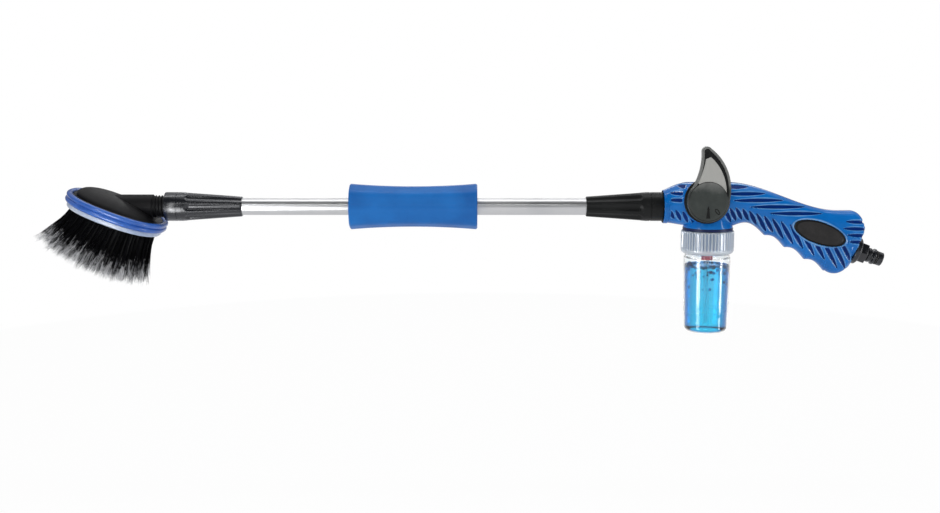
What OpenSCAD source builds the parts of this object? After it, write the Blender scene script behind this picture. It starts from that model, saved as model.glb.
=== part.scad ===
// Flow-through wash brush: brush head, pole, soap bottle and pistol grip with a hose inlet.
// +X runs along the pole from the brush to the hose end, +Z is up, -Y is the lever side.
// The origin is the centre of the hose nipple's tip. Lengths are in millimetres.

/* [Pole] */
// Outside diameter of the pole tube
tube_d = 18; // [16:0.5:22]
// Wall thickness of the pole tube
tube_wall = 1.5; // [1:0.1:2.5]
// Whole length of the pole tube, with both hidden ends
tube_len = 575; // [420:5:900]
// How deep the tube sits in the brush head's socket
head_socket = 57; // [48:1:70]
// How deep the tube sits in the handle's socket
handle_socket = 47; // [35:1:55]

/* [Pole nuts] */
// Wall of the threaded spigots that the nuts screw onto
spigot_wall = 2.95; // [2.5:0.05:4]
// Length of thread inside a nut
thread_in_nut = 28.7; // [22:0.1:34]
// Length of thread left showing beside the brush head
thread_shown = 12.9; // [6:0.1:20]
// Length of a pole nut
nut_len = 81.5; // [70:0.5:100]
// Wall of a nut over its thread
nut_wall = 3.2; // [3:0.1:5]
// Wall of a nut round the tube, at its small end
nut_nose_wall = 1.5; // [1.3:0.1:3]
// Length of the smooth band at a nut's big end
nut_band = 18; // [10:1:24]
// Number of grip flutes round a nut
flute_n = 8; // [6:1:10]
// Cutter radius of a grip flute
flute_r = 4.5; // [3:0.1:5]
// Depth of a grip flute at its closed end
flute_depth = 1.7; // [1:0.1:2]
// Length of the clamping ferrule
ferrule_len = 7.2; // [5:0.1:9]
// Cord thickness of the pole O-rings
oring_t = 2; // [1.5:0.1:2.4]

/* [Brush head] */
// Length of the brush head over its rubber bumper
head_len = 108; // [90:1:150]
// Width of the brush head over its rubber bumper
head_w = 104; // [80:1:130]
// Tilt of the brush head to the pole, left end up
head_tilt = 21; // [10:1:35]
// Distance from the neck's shoulder back to the middle of the head
neck_reach = 39; // [34:0.1:60]
// Drop of the middle of the head below the pole axis
head_drop = 4.2; // [2:0.1:12]
// Diameter of the neck
neck_d = 25.7; // [25:0.1:30]
// Height of the cover's dome above its base
dome_h = 12.5; // [12:0.5:26]
// Offset of the dome's peak towards the outer end
dome_shift = 9; // [0:0.5:14]
// Flat margin between the dome and the bumper
dome_margin = 4.5; // [1:0.5:7]
// Wall of the dome
dome_wall = 3.2; // [2:0.1:4]
// Height of the rubber bumper
bumper_h = 10.2; // [8:0.2:16]
// Thickness of the rubber bumper
bumper_t = 5.8; // [4:0.2:8]
// Thickness of the brush block
block_t = 12.2; // [10:0.1:18]
// Height of the block's foot that shows below the bumper
block_foot = 5; // [3:0.1:7]
// Depth of the water pocket in the block
pocket_h = 5; // [3:0.5:7]
// Diameter of a water outlet in the block
outlet_d = 3; // [2:0.5:4]
// Thickness of the head's seal
seal_t = 0.8; // [0.5:0.1:1.5]
// Length of the bristles at the middle
bristle_len = 61; // [40:1:90]
// How far the bristles spread past the block
bristle_flare = 21; // [5:0.5:25]
// How far the bristles lean towards the head's outer end
bristle_lean = 7; // [0:0.5:12]
// How much the bristles' tips drop towards the neck, over half the head
bristle_skew = 6; // [0:0.5:14]
// How much shorter the outermost bristles reach than the middle ones
bristle_bow = 11; // [0:0.5:16]
// Depth of the folds between the tufts, at their tips
tuft_fold = 4; // [0:0.5:6]

/* [Mid grip] */
// Length of the grip sleeve on the pole
sleeve_len = 135.4; // [90:1:180]
// Diameter of the sleeve at its ends
sleeve_d = 49; // [40:1:60]
// How much the sleeve's waist draws in, on the diameter
sleeve_waist = 6; // [0:0.5:12]
// Distance from the sleeve to the rear nut's small end
sleeve_gap = 115.6; // [60:1:160]
// Lobes round the sleeve
sleeve_lobes = 8; // [5:1:12]
// Height of a lobe
lobe_h = 0.8; // [0:0.1:2]

/* [Handle] */
// Distance from the handle's nose back to the bottle's axis
nose_len = 48.7; // [44:0.1:60]
// Diameter of the handle's nose
nose_d = 34; // [33:0.5:40]
// Height of the handle's back above the pole axis
body_top = 26; // [25:0.5:32]
// Depth of the handle's belly below the pole axis
belly = 20; // [19.5:0.5:24]
// Width of the handle at the valve
body_w = 48; // [46:1:56]
// Width of the handle at the grip
grip_w = 32; // [31:1:40]
// Height of the grip's rear end, measured from the pole axis
grip_end_top = -4; // [-8:0.5:0]
// Radius of the rounded heel above the inlet
heel_r = 14; // [8:0.5:16]
// Wall of the handle shells
shell_wall = 2.6; // [2:0.1:3]
// Depth of a finger scallop
finger_depth = 4.2; // [0:0.1:6]
// Depth of the grip grooves
groove_sink = 1.2; // [0.5:0.1:1.4]
// Distance from one lengthwise grip groove to the next
groove_pitch = 7.1; // [6:0.1:9]
// Radius of the skirt under the handle
skirt_r = 26.5; // [26:0.1:30]
// Depth of the skirt's lower face below the pole axis
skirt_z = 24.8; // [24:0.1:30]
// Length of a grip inlay
inlay_len = 57.4; // [40:1:62]
// Height of a grip inlay
inlay_h = 23; // [14:0.5:26]
// Thickness of a grip inlay
inlay_t = 3.2; // [2.5:0.1:4]
// Shank diameter of a handle screw
screw_d = 3; // [2.5:0.1:3.5]
// Head diameter of a handle screw
screw_head_d = 6; // [5:0.1:6.5]

/* [Valve and lever] */
// Height of the lever's turning axis above the pole axis
lever_z = 8.5; // [6:0.5:9]
// Distance of the lever's turning axis in front of the bottle's axis
lever_fore = 6; // [0:0.5:8]
// Diameter of the valve plug
plug_d = 18; // [14:0.5:18.5]
// Wall of the valve chamber round the plug
chamber_wall = 3.4; // [3:0.1:4]
// Bore of the water passages
flow_d = 9; // [6:0.5:9]
// Diameter of the plug's spindle
spindle_d = 9; // [7:0.5:10]
// Radius of the lever's disc
disc_r = 22; // [20:0.5:26]
// Thickness of the lever
lever_t = 6.7; // [5.5:0.1:9]
// Height of the lever's fin tip above its turning axis
fin_h = 57; // [45:1:70]
// Width of the border round the lever's panel
fin_rim = 2.6; // [1.5:0.1:4]
// Thickness of the black seat under the lever
seat_t = 2.5; // [1.5:0.1:4]

/* [Bottle] */
// Outside radius of the bottle's screw collar
collar_r = 28; // [26:0.1:31]
// Height of the screw collar
collar_h = 24.9; // [22:0.1:30]
// Grip ribs round the collar
collar_ribs = 48; // [24:2:60]
// Outside radius of the thread ring that the collar screws onto
ring_r = 23; // [21:0.1:24]
// Height of that thread ring
ring_h = 17.2; // [12:0.1:18]
// Outside radius of the bottle below its neck
bottle_r = 24.6; // [22:0.05:26]
// Outside radius of the bottle at its base
bottle_base_r = 22.8; // [18:0.1:25]
// Whole height of the bottle
bottle_h = 89.6; // [70:0.1:120]
// Wall of the bottle
bottle_wall = 1.8; // [1.2:0.1:2.5]
// Corner radius at the bottle's base
bottle_corner = 4.5; // [2:0.1:8]
// Thickness of the bottle's gasket
gasket_t = 1.95; // [1:0.05:2.5]
// Outside diameter of the dip tube
dip_d = 5; // [4:0.1:6]
// Space between the dip tube and the bottle's floor
dip_space = 5.8; // [3:0.1:15]
// Radius of the check valve's red flange
check_flange_r = 11; // [8:0.1:15]
// Diameter of the check ball
ball_d = 5; // [4:0.1:5.4]

/* [Hose inlet] */
// Tilt of the hose inlet below the pole axis
inlet_tilt = 19.6; // [10:0.1:25]
// Distance from the bottle's axis to the middle of the handle's rear face
rear_x = 155.8; // [150:0.1:160]
// Depth of the middle of the rear face below the pole axis
rear_z = 46; // [42:0.1:49]
// Diameter of the inlet's flange
flange_d = 29; // [26:0.5:34]
// Thickness of the inlet's flange
flange_t = 6; // [3:0.5:7]
// Size across the flats of the inlet's hexagon
hex_af = 20; // [18:0.5:24]
// Length of the hexagon
hex_t = 8; // [6:0.5:10]
// Diameter of the hose nipple's nose
nipple_d = 14.6; // [13:0.1:15.5]
// Diameter of the nipple's holding ridge
ridge_d = 17; // [16:0.1:18.5]
// Length of the nipple past the hexagon
nipple_len = 18.5; // [16.5:0.5:24]
// Diameter of the inlet's threaded shank
shank_d = 16; // [15:0.5:18]
// Diameter of the water pipe inside the handle
pipe_d = 12; // [11:0.5:13]

/* [Hidden] */
$fn = 64;
// Clearances: a running fit, a loose fit, and the gap between shaped surfaces
fit = 0.05;
loose = 0.15;
gap = 0.3;
cut = 1;

// Pole and nuts
tube_r = tube_d / 2;
socket_r = tube_r + fit;
spigot_r = socket_r + spigot_wall;
nut_bore = spigot_r + fit;
nut_r = nut_bore + nut_wall;
nut_hole = tube_r + loose;
nut_nose_r = nut_hole + nut_nose_wall;
cone_start = thread_in_nut + 1.5;
cone_end = thread_in_nut + ferrule_len + 2;
handle_spigot_end = -nose_len - thread_in_nut;
tube_stop = handle_spigot_end + handle_socket;
tube_start = tube_stop - tube_len;
head_spigot_end = tube_start + head_socket;
front_nut_x = head_spigot_end - thread_in_nut;
neck_end = front_nut_x - thread_shown;
thread_pitch = 4.2;
thread_depth = 1.3;

// Brush head, in its own tilted frame with the bumper's middle plane at height 0
head_x = neck_end - neck_reach;
head_z = -head_drop;
bumper_a = head_len / 2 - bumper_t / 2;
bumper_b = head_w / 2 - bumper_t / 2;
block_a = bumper_a - bumper_t / 2 - gap;
block_b = bumper_b - bumper_t / 2 - gap;
foot_a = block_a + bumper_t / 2 - 0.4;
foot_b = block_b + bumper_t / 2 - 0.4;
foot_top = -bumper_h / 2 - 0.4;
block_low = foot_top - block_foot;
block_top = block_low + block_t;
cover_low = block_top + seal_t;
cover_a = block_a - 0.5;
cover_b = block_b - 0.5;
pocket_a = block_a - 23;
pocket_b = block_b - 22;
seal_in = 5;
head_screw_u = block_a - 21;
head_screw_v = block_b - 22;
head_screw_r = 1.6;
head_screw_head = 3.4;
head_screw_t = 2.4;
head_screw_seat = 4;
head_screw_in = 4;
head_boss_r = 4;
oval_power = 2.3;
oval_n = 48;
cover_rim_t = 1.8;
bristle_inset = 5;

// Handle
nose_x = -nose_len;
nose_r = nose_d / 2;
front_run = 28;
slope_start = 20;
slope_end = 138;
finger_x = 60;
finger_z = -30.5;
finger_pitch = 21.6;
finger_fall = 12.9;
palm_x = 26;
palm_depth = 7.6;
pommel = [135.5, -56];
pommel_r = 15.8;
heel_x = 150;
cavity_end = 128;
section_power = 2.5;
section_n = 24;
lip_len = 5.9;
boss_low = skirt_z - 2.8;
inlay_at = [115.6, -26.6];
inlay_tilt = 18.8;
inlay_face = grip_w / 2 + 1.2;
inlay_bead = 2.6;
groove_top = body_top - 3.2;
groove_seam = 2.5;
row_from = [12, 12, 22, 41, 62];
row_to = [39.5, 58.6, 77.7, 100.7, 119];
front_from = [-34, -44, -46];
rear_from = [143.5, 140.5, 145, 146];
rear_to = 168;
screw_at = [[-28, 17.8], [33, 15.5], [68, -28], [100, -6], [112, -48], [141, -60], [147, -13]];
screw_seat = 9;
screw_deep = 8;
boss_r = 4;

// Valve and lever
plug_at = [-lever_fore, lever_z];
plug_r = plug_d / 2;
chamber_r = plug_r + fit + chamber_wall;
chamber_y = 12.5;
chamber_front = 7.5;
plug_back = 9.5;
spindle_r = spindle_d / 2;
hub_r = spindle_r + 3;
seat_y = body_w / 2 + 0.5;
lever_in = seat_y + seat_t + gap;
lever_out = lever_in + lever_t;
hub_in = seat_y - 3.5;
cap_r = disc_r - 1.3;
cap_t = 2.2;
panel_t = 1.4;
barrel_r = nose_r - shell_wall - gap;
barrel_end = plug_at[0] - chamber_r - 0.5;

// Hose inlet
rear = [rear_x, -rear_z];
inlet_dir = [cos(inlet_tilt), -sin(inlet_tilt)];
nipple_start = flange_t + hex_t;
inlet_len = nipple_start + nipple_len;
tip = rear + inlet_len * inlet_dir;
socket_in = 26;
elbow = rear - socket_in * inlet_dir;
pipe_run = elbow - plug_at;
pipe_tilt = atan2(-pipe_run[1], pipe_run[0]);
pipe_end = norm(pipe_run);
pipe_start = chamber_r + 7;
pipe_r = pipe_d / 2;
pipe_socket_r = pipe_r + 3;
pipe_socket_end = pipe_start + 14;
rear_wall = 3;
shank_r = shank_d / 2;
boss_out = shank_r + 4;
shank_len = 19;

// Bottle and check valve
ring_low = -skirt_z - ring_h;
mouth_z = ring_low - fit - gasket_t;
flange_h = 3;
collar_top = -skirt_z - gap;
collar_low = collar_top - collar_h;
collar_bore = ring_r + fit;
lip_top = mouth_z - flange_h - gap;
bottle_flange_r = ring_r - 0.4;
bottle_neck_r = bottle_flange_r - 2;
lip_r = bottle_neck_r + gap;
mouth_r = bottle_neck_r - bottle_wall;
shoulder_z = collar_low - 2;
bottle_low = mouth_z - bottle_h;
step_z = bottle_low + 20.6;
check_r = 6;
check_top = ring_low + 8;
check_flange_z = ring_low - 2.3;
check_flange_t = 2.7;
check_low = check_flange_z - check_flange_t - 9;
ball_r = ball_d / 2;
ball_room = ball_r + 0.8;
seat_hole = ball_r * 0.72;
ball_seat = check_low + 7;
ball_z = ball_seat + sqrt(ball_r * ball_r - seat_hole * seat_hole) + 0.02;
spring_top = ball_seat + 10.9;
spring_low = ball_z + ball_r - 0.6;
dip_socket = 3.7;
dip_low = bottle_low + bottle_wall + dip_space;

// Curves
function smooth(t) = let(c = min(1, max(0, t))) c * c * (3 - 2 * c);
function signed_pow(v, p) = sign(v) * pow(abs(v), p);
function oval(a, b, shift = 0, n = oval_n, power = oval_power) =
    [for (i = [0:n - 1]) let(t = 360 * i / n)
        [shift + a * signed_pow(cos(t), 2 / power), b * signed_pow(sin(t), 2 / power)]];
function ring_at(outline, z) = [for (p = outline) [p[0], p[1], z]];

// Side outline of the handle: its back, its belly and its width at a distance x
function back_z(x) =
    x < nose_x + front_run ? nose_r + (body_top - nose_r) * sin(90 * (x - nose_x) / front_run) :
    x < heel_x ? body_top + (grip_end_top - body_top) * smooth((x - slope_start) / (slope_end - slope_start)) :
    grip_end_top - heel_r + sqrt(heel_r * heel_r - pow(x - heel_x, 2));
function finger_no(x) = (x - finger_x) / finger_pitch;
function finger_dent(x) = finger_depth * sin(180 * (finger_no(x) - floor(finger_no(x))));
function palm_at(x) = (x - palm_x) / (finger_x - palm_x);
function under_z(x) =
    x < nose_x + front_run ? -nose_r - (belly - nose_r) * smooth((x - nose_x) / front_run) :
    x < palm_x ? -belly :
    x < finger_x ? -belly + (finger_z + belly) * palm_at(x) :
    x < finger_x + 3 * finger_pitch ? finger_z - finger_fall * finger_no(x) : pommel_line(x);
function pommel_line(x) = pommel[1] - sqrt(max(0.01, pommel_r * pommel_r - pow(x - pommel[0], 2)));
function belly_z(x) = under_z(x) + (
    x < palm_x || x > finger_x + 3 * finger_pitch ? 0 :
    x < finger_x ? palm_depth * sin(180 * palm_at(x)) : finger_dent(x));
function half_w(x) = x < nose_x + front_run
    ? nose_r + (body_w / 2 - nose_r) * smooth((x - nose_x) / front_run)
    : body_w / 2 + (grip_w / 2 - body_w / 2) * smooth((x - 12) / 55);
function section_at(x, inset) =
    let(high = back_z(x) - inset, low = belly_z(x) + inset, w = half_w(x) - inset,
        mid = (back_z(x) + under_z(x)) / 2, p = 2 + (section_power - 2) * smooth((x - nose_x) / front_run))
    [for (i = [0:section_n - 1]) let(t = 360 * i / section_n, reach = sin(t) > 0 ? high - mid : mid - low)
        [x, w * signed_pow(cos(t), 2 / p), mid + reach * signed_pow(sin(t), 2 / p)]];

// Grip grooves, each with its start, its end and half its width, as seen from the side
function row_z(k) = groove_top - groove_pitch * k;
function slant_x(k) = 25 + 7 * k + 0.2 * k * k;
function slant_z(x) = min(1, -2 - 0.33 * (x - 38));
function slant_low(x) = belly_z(x + 12) + 4.5;
grooves = concat(
    [for (k = [0:4]) [[row_from[k], row_z(k)], [row_to[k], row_z(k) - 0.6], 1.8]],
    [for (k = [0:2]) [[front_from[k], row_z(k)], [-22, row_z(k)], 1.8]],
    [for (k = [0:3]) [[rear_from[k], row_z(k) - 37.4], [rear_to, row_z(k) - 38.2], 1.7]],
    [for (k = [0:3]) [[7 * k - 44.5, -1 - k], [7 * k - 38.3, -12.3 - 1.6 * k], 2]],
    [for (k = [-2:12]) let(x = slant_x(k), z = slant_z(x), low = slant_low(x))
        [[x, z], [x + (z - low) / 1.75, low], 2.3]]);

// A closed solid through a row of rings, each with as many points
module loft(rings) {
    m = len(rings[0]);
    n = len(rings);
    side = [for (j = [0:n - 2], i = [0:m - 1]) let(k = (i + 1) % m)
        each [[j * m + i, (j + 1) * m + i, (j + 1) * m + k], [j * m + i, (j + 1) * m + k, j * m + k]]];
    low_cap = [for (i = [0:m - 1]) i];
    high_cap = [for (i = [m - 1:-1:0]) (n - 1) * m + i];
    polyhedron(points = [for (r = rings) each r], faces = concat([low_cap, high_cap], side), convexity = 6);
}

// A closed hoop: the rings' last one joins the first
module hoop(rings) {
    m = len(rings[0]);
    n = len(rings);
    faces = [for (j = [0:n - 1], i = [0:m - 1]) let(j2 = (j + 1) % n, k = (i + 1) % m)
        each [[j * m + i, j * m + k, j2 * m + k], [j * m + i, j2 * m + k, j2 * m + i]]];
    polyhedron(points = [for (r = rings) each r], faces = faces, convexity = 6);
}

// Places: the whole part, the tilted head, the hose inlet and the water pipe
module placed() { translate([-tip[0], 0, -tip[1]]) children(); }
module at_head() { translate([head_x, 0, head_z]) rotate([0, head_tilt, 0]) children(); }
module at_inlet() { translate([rear[0], 0, rear[1]]) rotate([0, 90 + inlet_tilt, 0]) children(); }
module at_pipe() { translate([plug_at[0], 0, plug_at[1]]) rotate([0, 90 + pipe_tilt, 0]) children(); }
module along_x(x) { translate([x, 0, 0]) rotate([0, 90, 0]) children(); }
module at_front_nut() { along_x(front_nut_x) children(); }
module at_rear_nut() { translate([nose_x, 0, 0]) rotate([0, -90, 0]) children(); }
// Along -Y from the lever's axis, starting at the depth y
module at_lever(y) { translate([plug_at[0], -y, plug_at[1]]) rotate([90, 0, 0]) children(); }

module rod_x(r, x1, x2) { translate([x1, 0, 0]) rotate([0, 90, 0]) cylinder(r = r, h = x2 - x1); }
module rod_y(r, y1, y2, at) { translate([at[0], y2, at[1]]) rotate([90, 0, 0]) cylinder(r = r, h = y2 - y1); }
module oring(centre_r, thick) { rotate_extrude() translate([centre_r, 0]) circle(d = thick, $fn = 32); }

// Brush head
module dome(inset) {
    steps = 7;
    a = cover_a - dome_margin - inset;
    b = cover_b - dome_margin - inset;
    h = dome_h - inset;
    loft([for (k = [0:steps]) let(s = 0.985 * k / steps, f = pow(1 - pow(s, 2.3), 1 / 2.3))
        ring_at(oval(a * f, b * f, -dome_shift * s), cover_low + h * s)]);
}

module head_cover() placed() color([0.13, 0.13, 0.14]) difference() {
    union() {
        difference() {
            at_head() {
                dome(0);
                translate([0, 0, cover_low]) linear_extrude(cover_rim_t) polygon(oval(cover_a, cover_b));
            }
            at_head() translate([0, 0, -cut]) dome(dome_wall);
        }
        intersection() {
            at_head() dome(0);
            at_head() for (u = [-1, 1], v = [-1, 1])
                translate([u * head_screw_u, v * head_screw_v, cover_low])
                    cylinder(r = head_boss_r, h = 2 * dome_h);
        }
        rod_x(neck_d / 2, head_x - 20, neck_end);
        rod_x(spigot_r, neck_end - cut, head_spigot_end);
    }
    at_head() translate([-head_len, -head_w, cover_low - head_len]) cube([2 * head_len, 2 * head_w, head_len]);
    rod_x(socket_r, tube_start, head_spigot_end + cut);
    rod_x(socket_r - 2, head_x - 4, tube_start + cut);
    rod_x(socket_r + oring_t, head_spigot_end - oring_t - 0.4, head_spigot_end + cut);
    for (x = [neck_end + 1.2:thread_pitch:front_nut_x - 2])
        along_x(x) rotate_extrude() polygon([[spigot_r - thread_depth, 1.2], [spigot_r - thread_depth, 2],
            [spigot_r + 0.5, 3.2], [spigot_r + 0.5, 0]]);
    at_head() for (u = [-1, 1], v = [-1, 1])
        translate([u * head_screw_u, v * head_screw_v, cover_low - cut])
            cylinder(r = head_screw_r + fit, h = head_screw_in + 1);
}

module head_seal() placed() color([0.2, 0.2, 0.2]) at_head() translate([0, 0, block_top]) difference() {
    linear_extrude(seal_t) polygon(oval(block_a - 1.5, block_b - 1.5));
    translate([0, 0, -cut]) linear_extrude(seal_t + 2 * cut)
        polygon(oval(block_a - seal_in, block_b - seal_in));
}

module brush_block() placed() color([0.62, 0.70, 0.80]) at_head() difference() {
    union() {
        translate([0, 0, block_low]) linear_extrude(block_foot) polygon(oval(foot_a, foot_b));
        translate([0, 0, block_low]) linear_extrude(block_t) polygon(oval(block_a, block_b));
    }
    translate([0, 0, block_top - pocket_h]) linear_extrude(pocket_h + cut) polygon(oval(pocket_a, pocket_b));
    for (k = [0:7]) rotate([0, 0, 45 * k])
        translate([0.62 * pocket_b, 0, block_low - cut]) cylinder(d = outlet_d, h = block_t);
    for (u = [-1, 1], v = [-1, 1]) translate([u * head_screw_u, v * head_screw_v, block_low - cut]) {
        cylinder(r = head_screw_r + loose, h = block_t + 2 * cut);
        cylinder(r = head_screw_head + loose, h = head_screw_seat + cut);
    }
}

module head_screws() placed() color([0.75, 0.75, 0.77]) at_head()
    for (u = [-1, 1], v = [-1, 1])
        translate([u * head_screw_u, v * head_screw_v, block_low + head_screw_seat - head_screw_t]) {
            cylinder(r = head_screw_head, h = head_screw_t);
            cylinder(r = head_screw_r, h = cover_low + head_screw_in - block_low - head_screw_seat + head_screw_t);
        }

module bumper_ring() placed() color([0.20, 0.33, 0.72]) at_head() {
    section = [for (k = [0:19]) let(t = 18 * k, z = bumper_h / 2 * signed_pow(sin(t), 0.62))
        [bumper_t / 2 * signed_pow(cos(t), 0.62) - (cos(t) > 0.5 ? max(0, 1.1 - abs(z) * 0.6) : 0), z]];
    rims = [for (p = section) oval(bumper_a + p[0], bumper_b + p[0])];
    hoop([for (i = [0:oval_n - 1]) [for (k = [0:19]) [rims[k][i][0], rims[k][i][1], section[k][1]]]]);
}

// One ring of bristles: j counts the rings, f is the share of their reach and t of their length
function bristle_ring(j, f, t) = [for (i = [0:oval_n - 1])
    let(p = oval(1, 1)[i], tip = f < 1, fold = tuft_fold * t * ((i + (tip ? j : 0)) % 2),
        grow = bristle_flare * pow(t, 1.3) - (tip ? 0 : fold) - bristle_inset,
        deep = (bristle_len + bristle_skew * f * p[0] - bristle_bow * f * f) * t - (tip ? fold : 0))
    [(foot_a + grow) * f * p[0] - bristle_lean * t, (foot_b + grow) * f * p[1], block_low - gap - deep]];

module bristle_field() placed() color([0.06, 0.06, 0.07]) at_head() {
    rings = concat([for (k = [0:8]) [1, k / 8]], [for (f = [0.9, 0.68, 0.42, 0.16]) [f, 1]]);
    loft([for (j = [len(rings) - 1:-1:0]) bristle_ring(j, rings[j][0], rings[j][1])]);
}

// Pole
module pole_tube() placed() color([0.80, 0.81, 0.82]) difference() {
    rod_x(tube_r, tube_start + gap, tube_stop - gap);
    rod_x(tube_r - tube_wall, tube_start - cut, tube_stop + cut);
}

module mid_grip() placed() color([0.12, 0.43, 0.75]) difference() {
    steps = 20;
    end = -nose_len - nut_len - sleeve_gap;
    loft([for (k = [0:steps]) let(t = k / steps, edge = (k == 0 || k == steps) ? 1.2 : 0,
            r = sleeve_d / 2 - edge - sleeve_waist / 2 * pow(sin(180 * t), 0.8))
        [for (i = [0:63]) let(w = 360 * i / 64, q = r - lobe_h / 2 + lobe_h / 2 * cos(sleeve_lobes * w))
            [end - sleeve_len * (1 - t), q * cos(w), q * sin(w)]]]);
    rod_x(socket_r, end - sleeve_len - cut, end + cut);
}

// A pole nut lies along +Z with its big end at 0
module nut() {
    flute_start = nut_band + 3.5;
    nose_floor = nut_nose_r - 0.35;
    edge_floor = nut_r - flute_depth;
    lean = atan2(edge_floor - nose_floor, nut_len - flute_start);
    difference() {
        rotate_extrude() polygon([[nut_bore, 0], [nut_r - 0.8, 0], [nut_r, 0.8], [nut_r, nut_band],
            [nut_nose_r, nut_len - 0.6], [nut_nose_r - 0.6, nut_len], [nut_hole, nut_len],
            [nut_hole, cone_end], [nut_bore, cone_start]]);
        for (k = [0:flute_n - 1]) rotate([0, 0, 360 * k / flute_n])
            translate([edge_floor + flute_r, 0, flute_start + flute_r]) rotate([0, -lean, 0]) {
                sphere(r = flute_r);
                cylinder(r = flute_r, h = nut_len);
            }
    }
}

// A ferrule lies along +Z on the spigot's end, inside the nut's cone
module ferrule() {
    slope = (nut_bore - nut_hole) / (cone_end - cone_start);
    low = thread_in_nut;
    high = thread_in_nut + ferrule_len;
    back_r = nut_bore - gap;
    front_r = nut_bore - slope * (high - cone_start) - gap;
    rotate_extrude() polygon([[socket_r, low], [back_r - 0.2, low], [back_r - 0.2, cone_start - 0.2],
        [front_r, high], [socket_r, high]]);
}

module pole_oring() {
    translate([0, 0, thread_in_nut - oring_t / 2 - 0.2]) oring(tube_r + fit + oring_t / 2, oring_t - 2 * fit);
}

module front_nut() placed() color([0.09, 0.09, 0.10]) at_front_nut() nut();
module rear_nut() placed() color([0.09, 0.09, 0.10]) at_rear_nut() nut();
module front_ferrule() placed() color([0.85, 0.85, 0.82]) at_front_nut() ferrule();
module rear_ferrule() placed() color([0.85, 0.85, 0.82]) at_rear_nut() ferrule();
module front_oring() placed() color([0.05, 0.05, 0.05]) at_front_nut() pole_oring();
module rear_oring() placed() color([0.05, 0.05, 0.05]) at_rear_nut() pole_oring();

// Handle
handle_x = concat([for (k = [0:5]) nose_x + k * front_run / 6],
    [for (k = [0:3]) nose_x + front_run + k * (palm_x - nose_x - front_run) / 4],
    [for (k = [0:5]) palm_x + k * (finger_x - palm_x) / 6],
    [for (k = [0:14]) finger_x + k * finger_pitch / 5],
    [for (k = [0:5]) finger_x + 3 * finger_pitch + k * 4.6],
    [for (a = [15:15:75]) heel_x + heel_r * sin(a)], [heel_x + 0.997 * heel_r]);

module handle_solid() difference() {
    loft([for (x = handle_x) section_at(x, 0)]);
    at_inlet() translate([-100, -100, 0]) cube([200, 200, 100]);
}

module handle_hollow() loft(concat([section_at(nose_x - cut, shell_wall)],
    [for (x = handle_x) if (x < cavity_end) section_at(x, shell_wall)]));

// Outline of a groove from p to q, pointed at both ends
function groove_shape(p, q, half) = let(d = q - p, n = half * [-d[1], d[0]] / norm(d))
    concat([for (k = [0:4]) p + d * k / 4 + n * pow(sin(45 * k), 0.6)],
        [for (k = [3:-1:1]) p + d * k / 4 - n * pow(sin(45 * k), 0.6)]);

// Grooves cut down to an inner surface, so that their depth is even
module grip_grooves(side) difference() {
    rotate([90, 0, 0]) translate([0, 0, side < 0 ? groove_seam : -body_w]) linear_extrude(body_w - groove_seam)
        for (g = grooves) polygon(groove_shape(g[0], g[1], g[2]));
    loft([for (x = handle_x) section_at(x, groove_sink)]);
    translate([inlay_at[0], 0, inlay_at[1]]) rotate([90, 0, 0]) rotate([0, 0, -inlay_tilt])
        linear_extrude(2 * body_w, center = true)
            polygon(oval(inlay_len / 2 + inlay_bead, inlay_h / 2 + inlay_bead, power = 2));
}

module handle_skin(side) difference() {
    handle_solid();
    grip_grooves(side);
}

// One half of the handle: side is -1 towards -Y and 1 towards +Y
module handle_half(side) difference() {
    union() {
        difference() {
            union() {
                handle_skin(side);
                translate([0, 0, -boss_low]) cylinder(r1 = skirt_r - 0.3, r2 = skirt_r - 6, h = boss_low - 2);
                rod_x(nose_r + 0.9, nose_x, nose_x + lip_len);
                if (side < 0) rod_y(disc_r + 0.5, -seat_y, -seat_y + 7, plug_at);
            }
            handle_hollow();
        }
        intersection() {
            handle_skin(side);
            for (p = screw_at) rod_y(boss_r, -body_w / 2, body_w / 2, p);
        }
    }
    translate([-300, side > 0 ? -100 : 0, -200]) cube([600, 100, 400]);
    rod_x(barrel_r + gap, nose_x - cut, barrel_end);
    translate([0, 0, -boss_low - cut]) cylinder(r = skirt_r - 3.5, h = cut + 8);
    at_inlet() translate([0, 0, -socket_in - 8]) cylinder(r = boss_out + 0.1, h = socket_in + 8 - rear_wall);
    at_inlet() translate([0, 0, -rear_wall - cut]) cylinder(r = shank_r + loose, h = rear_wall + 2 * cut);
    at_pipe() cylinder(r = pipe_socket_r + 0.6, h = pipe_end - 6);
    for (p = screw_at) {
        rod_y(screw_d / 2 + loose, -screw_deep - 0.5, screw_seat + cut, p);
        rod_y(screw_head_d / 2 + loose, screw_seat, body_w, p);
    }
    if (side < 0) rod_y(hub_r + gap, -60, 0, plug_at);
    if (side < 0) rod_y(disc_r + 2 + gap, -2 * seat_y, -seat_y, plug_at);
    grip_pocket(side);
}

module grip_pocket(side) translate([inlay_at[0], side * (inlay_face - inlay_t - 0.1), inlay_at[1]])
    rotate([side < 0 ? 90 : -90, 0, 0]) rotate([0, 0, side < 0 ? -inlay_tilt : inlay_tilt])
        linear_extrude(grip_w) polygon(oval(inlay_len / 2 + gap, inlay_h / 2 + gap, power = 2));

module grip_inlay(side) translate([inlay_at[0], side * (inlay_face - inlay_t), inlay_at[1]])
    rotate([side < 0 ? 90 : -90, 0, 0]) rotate([0, 0, side < 0 ? -inlay_tilt : inlay_tilt]) {
        linear_extrude(inlay_t - 0.8) polygon(oval(inlay_len / 2, inlay_h / 2, power = 2));
        translate([0, 0, inlay_t - 0.8]) linear_extrude(0.8)
            polygon(oval(inlay_len / 2 - 1, inlay_h / 2 - 1, power = 2));
    }

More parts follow.
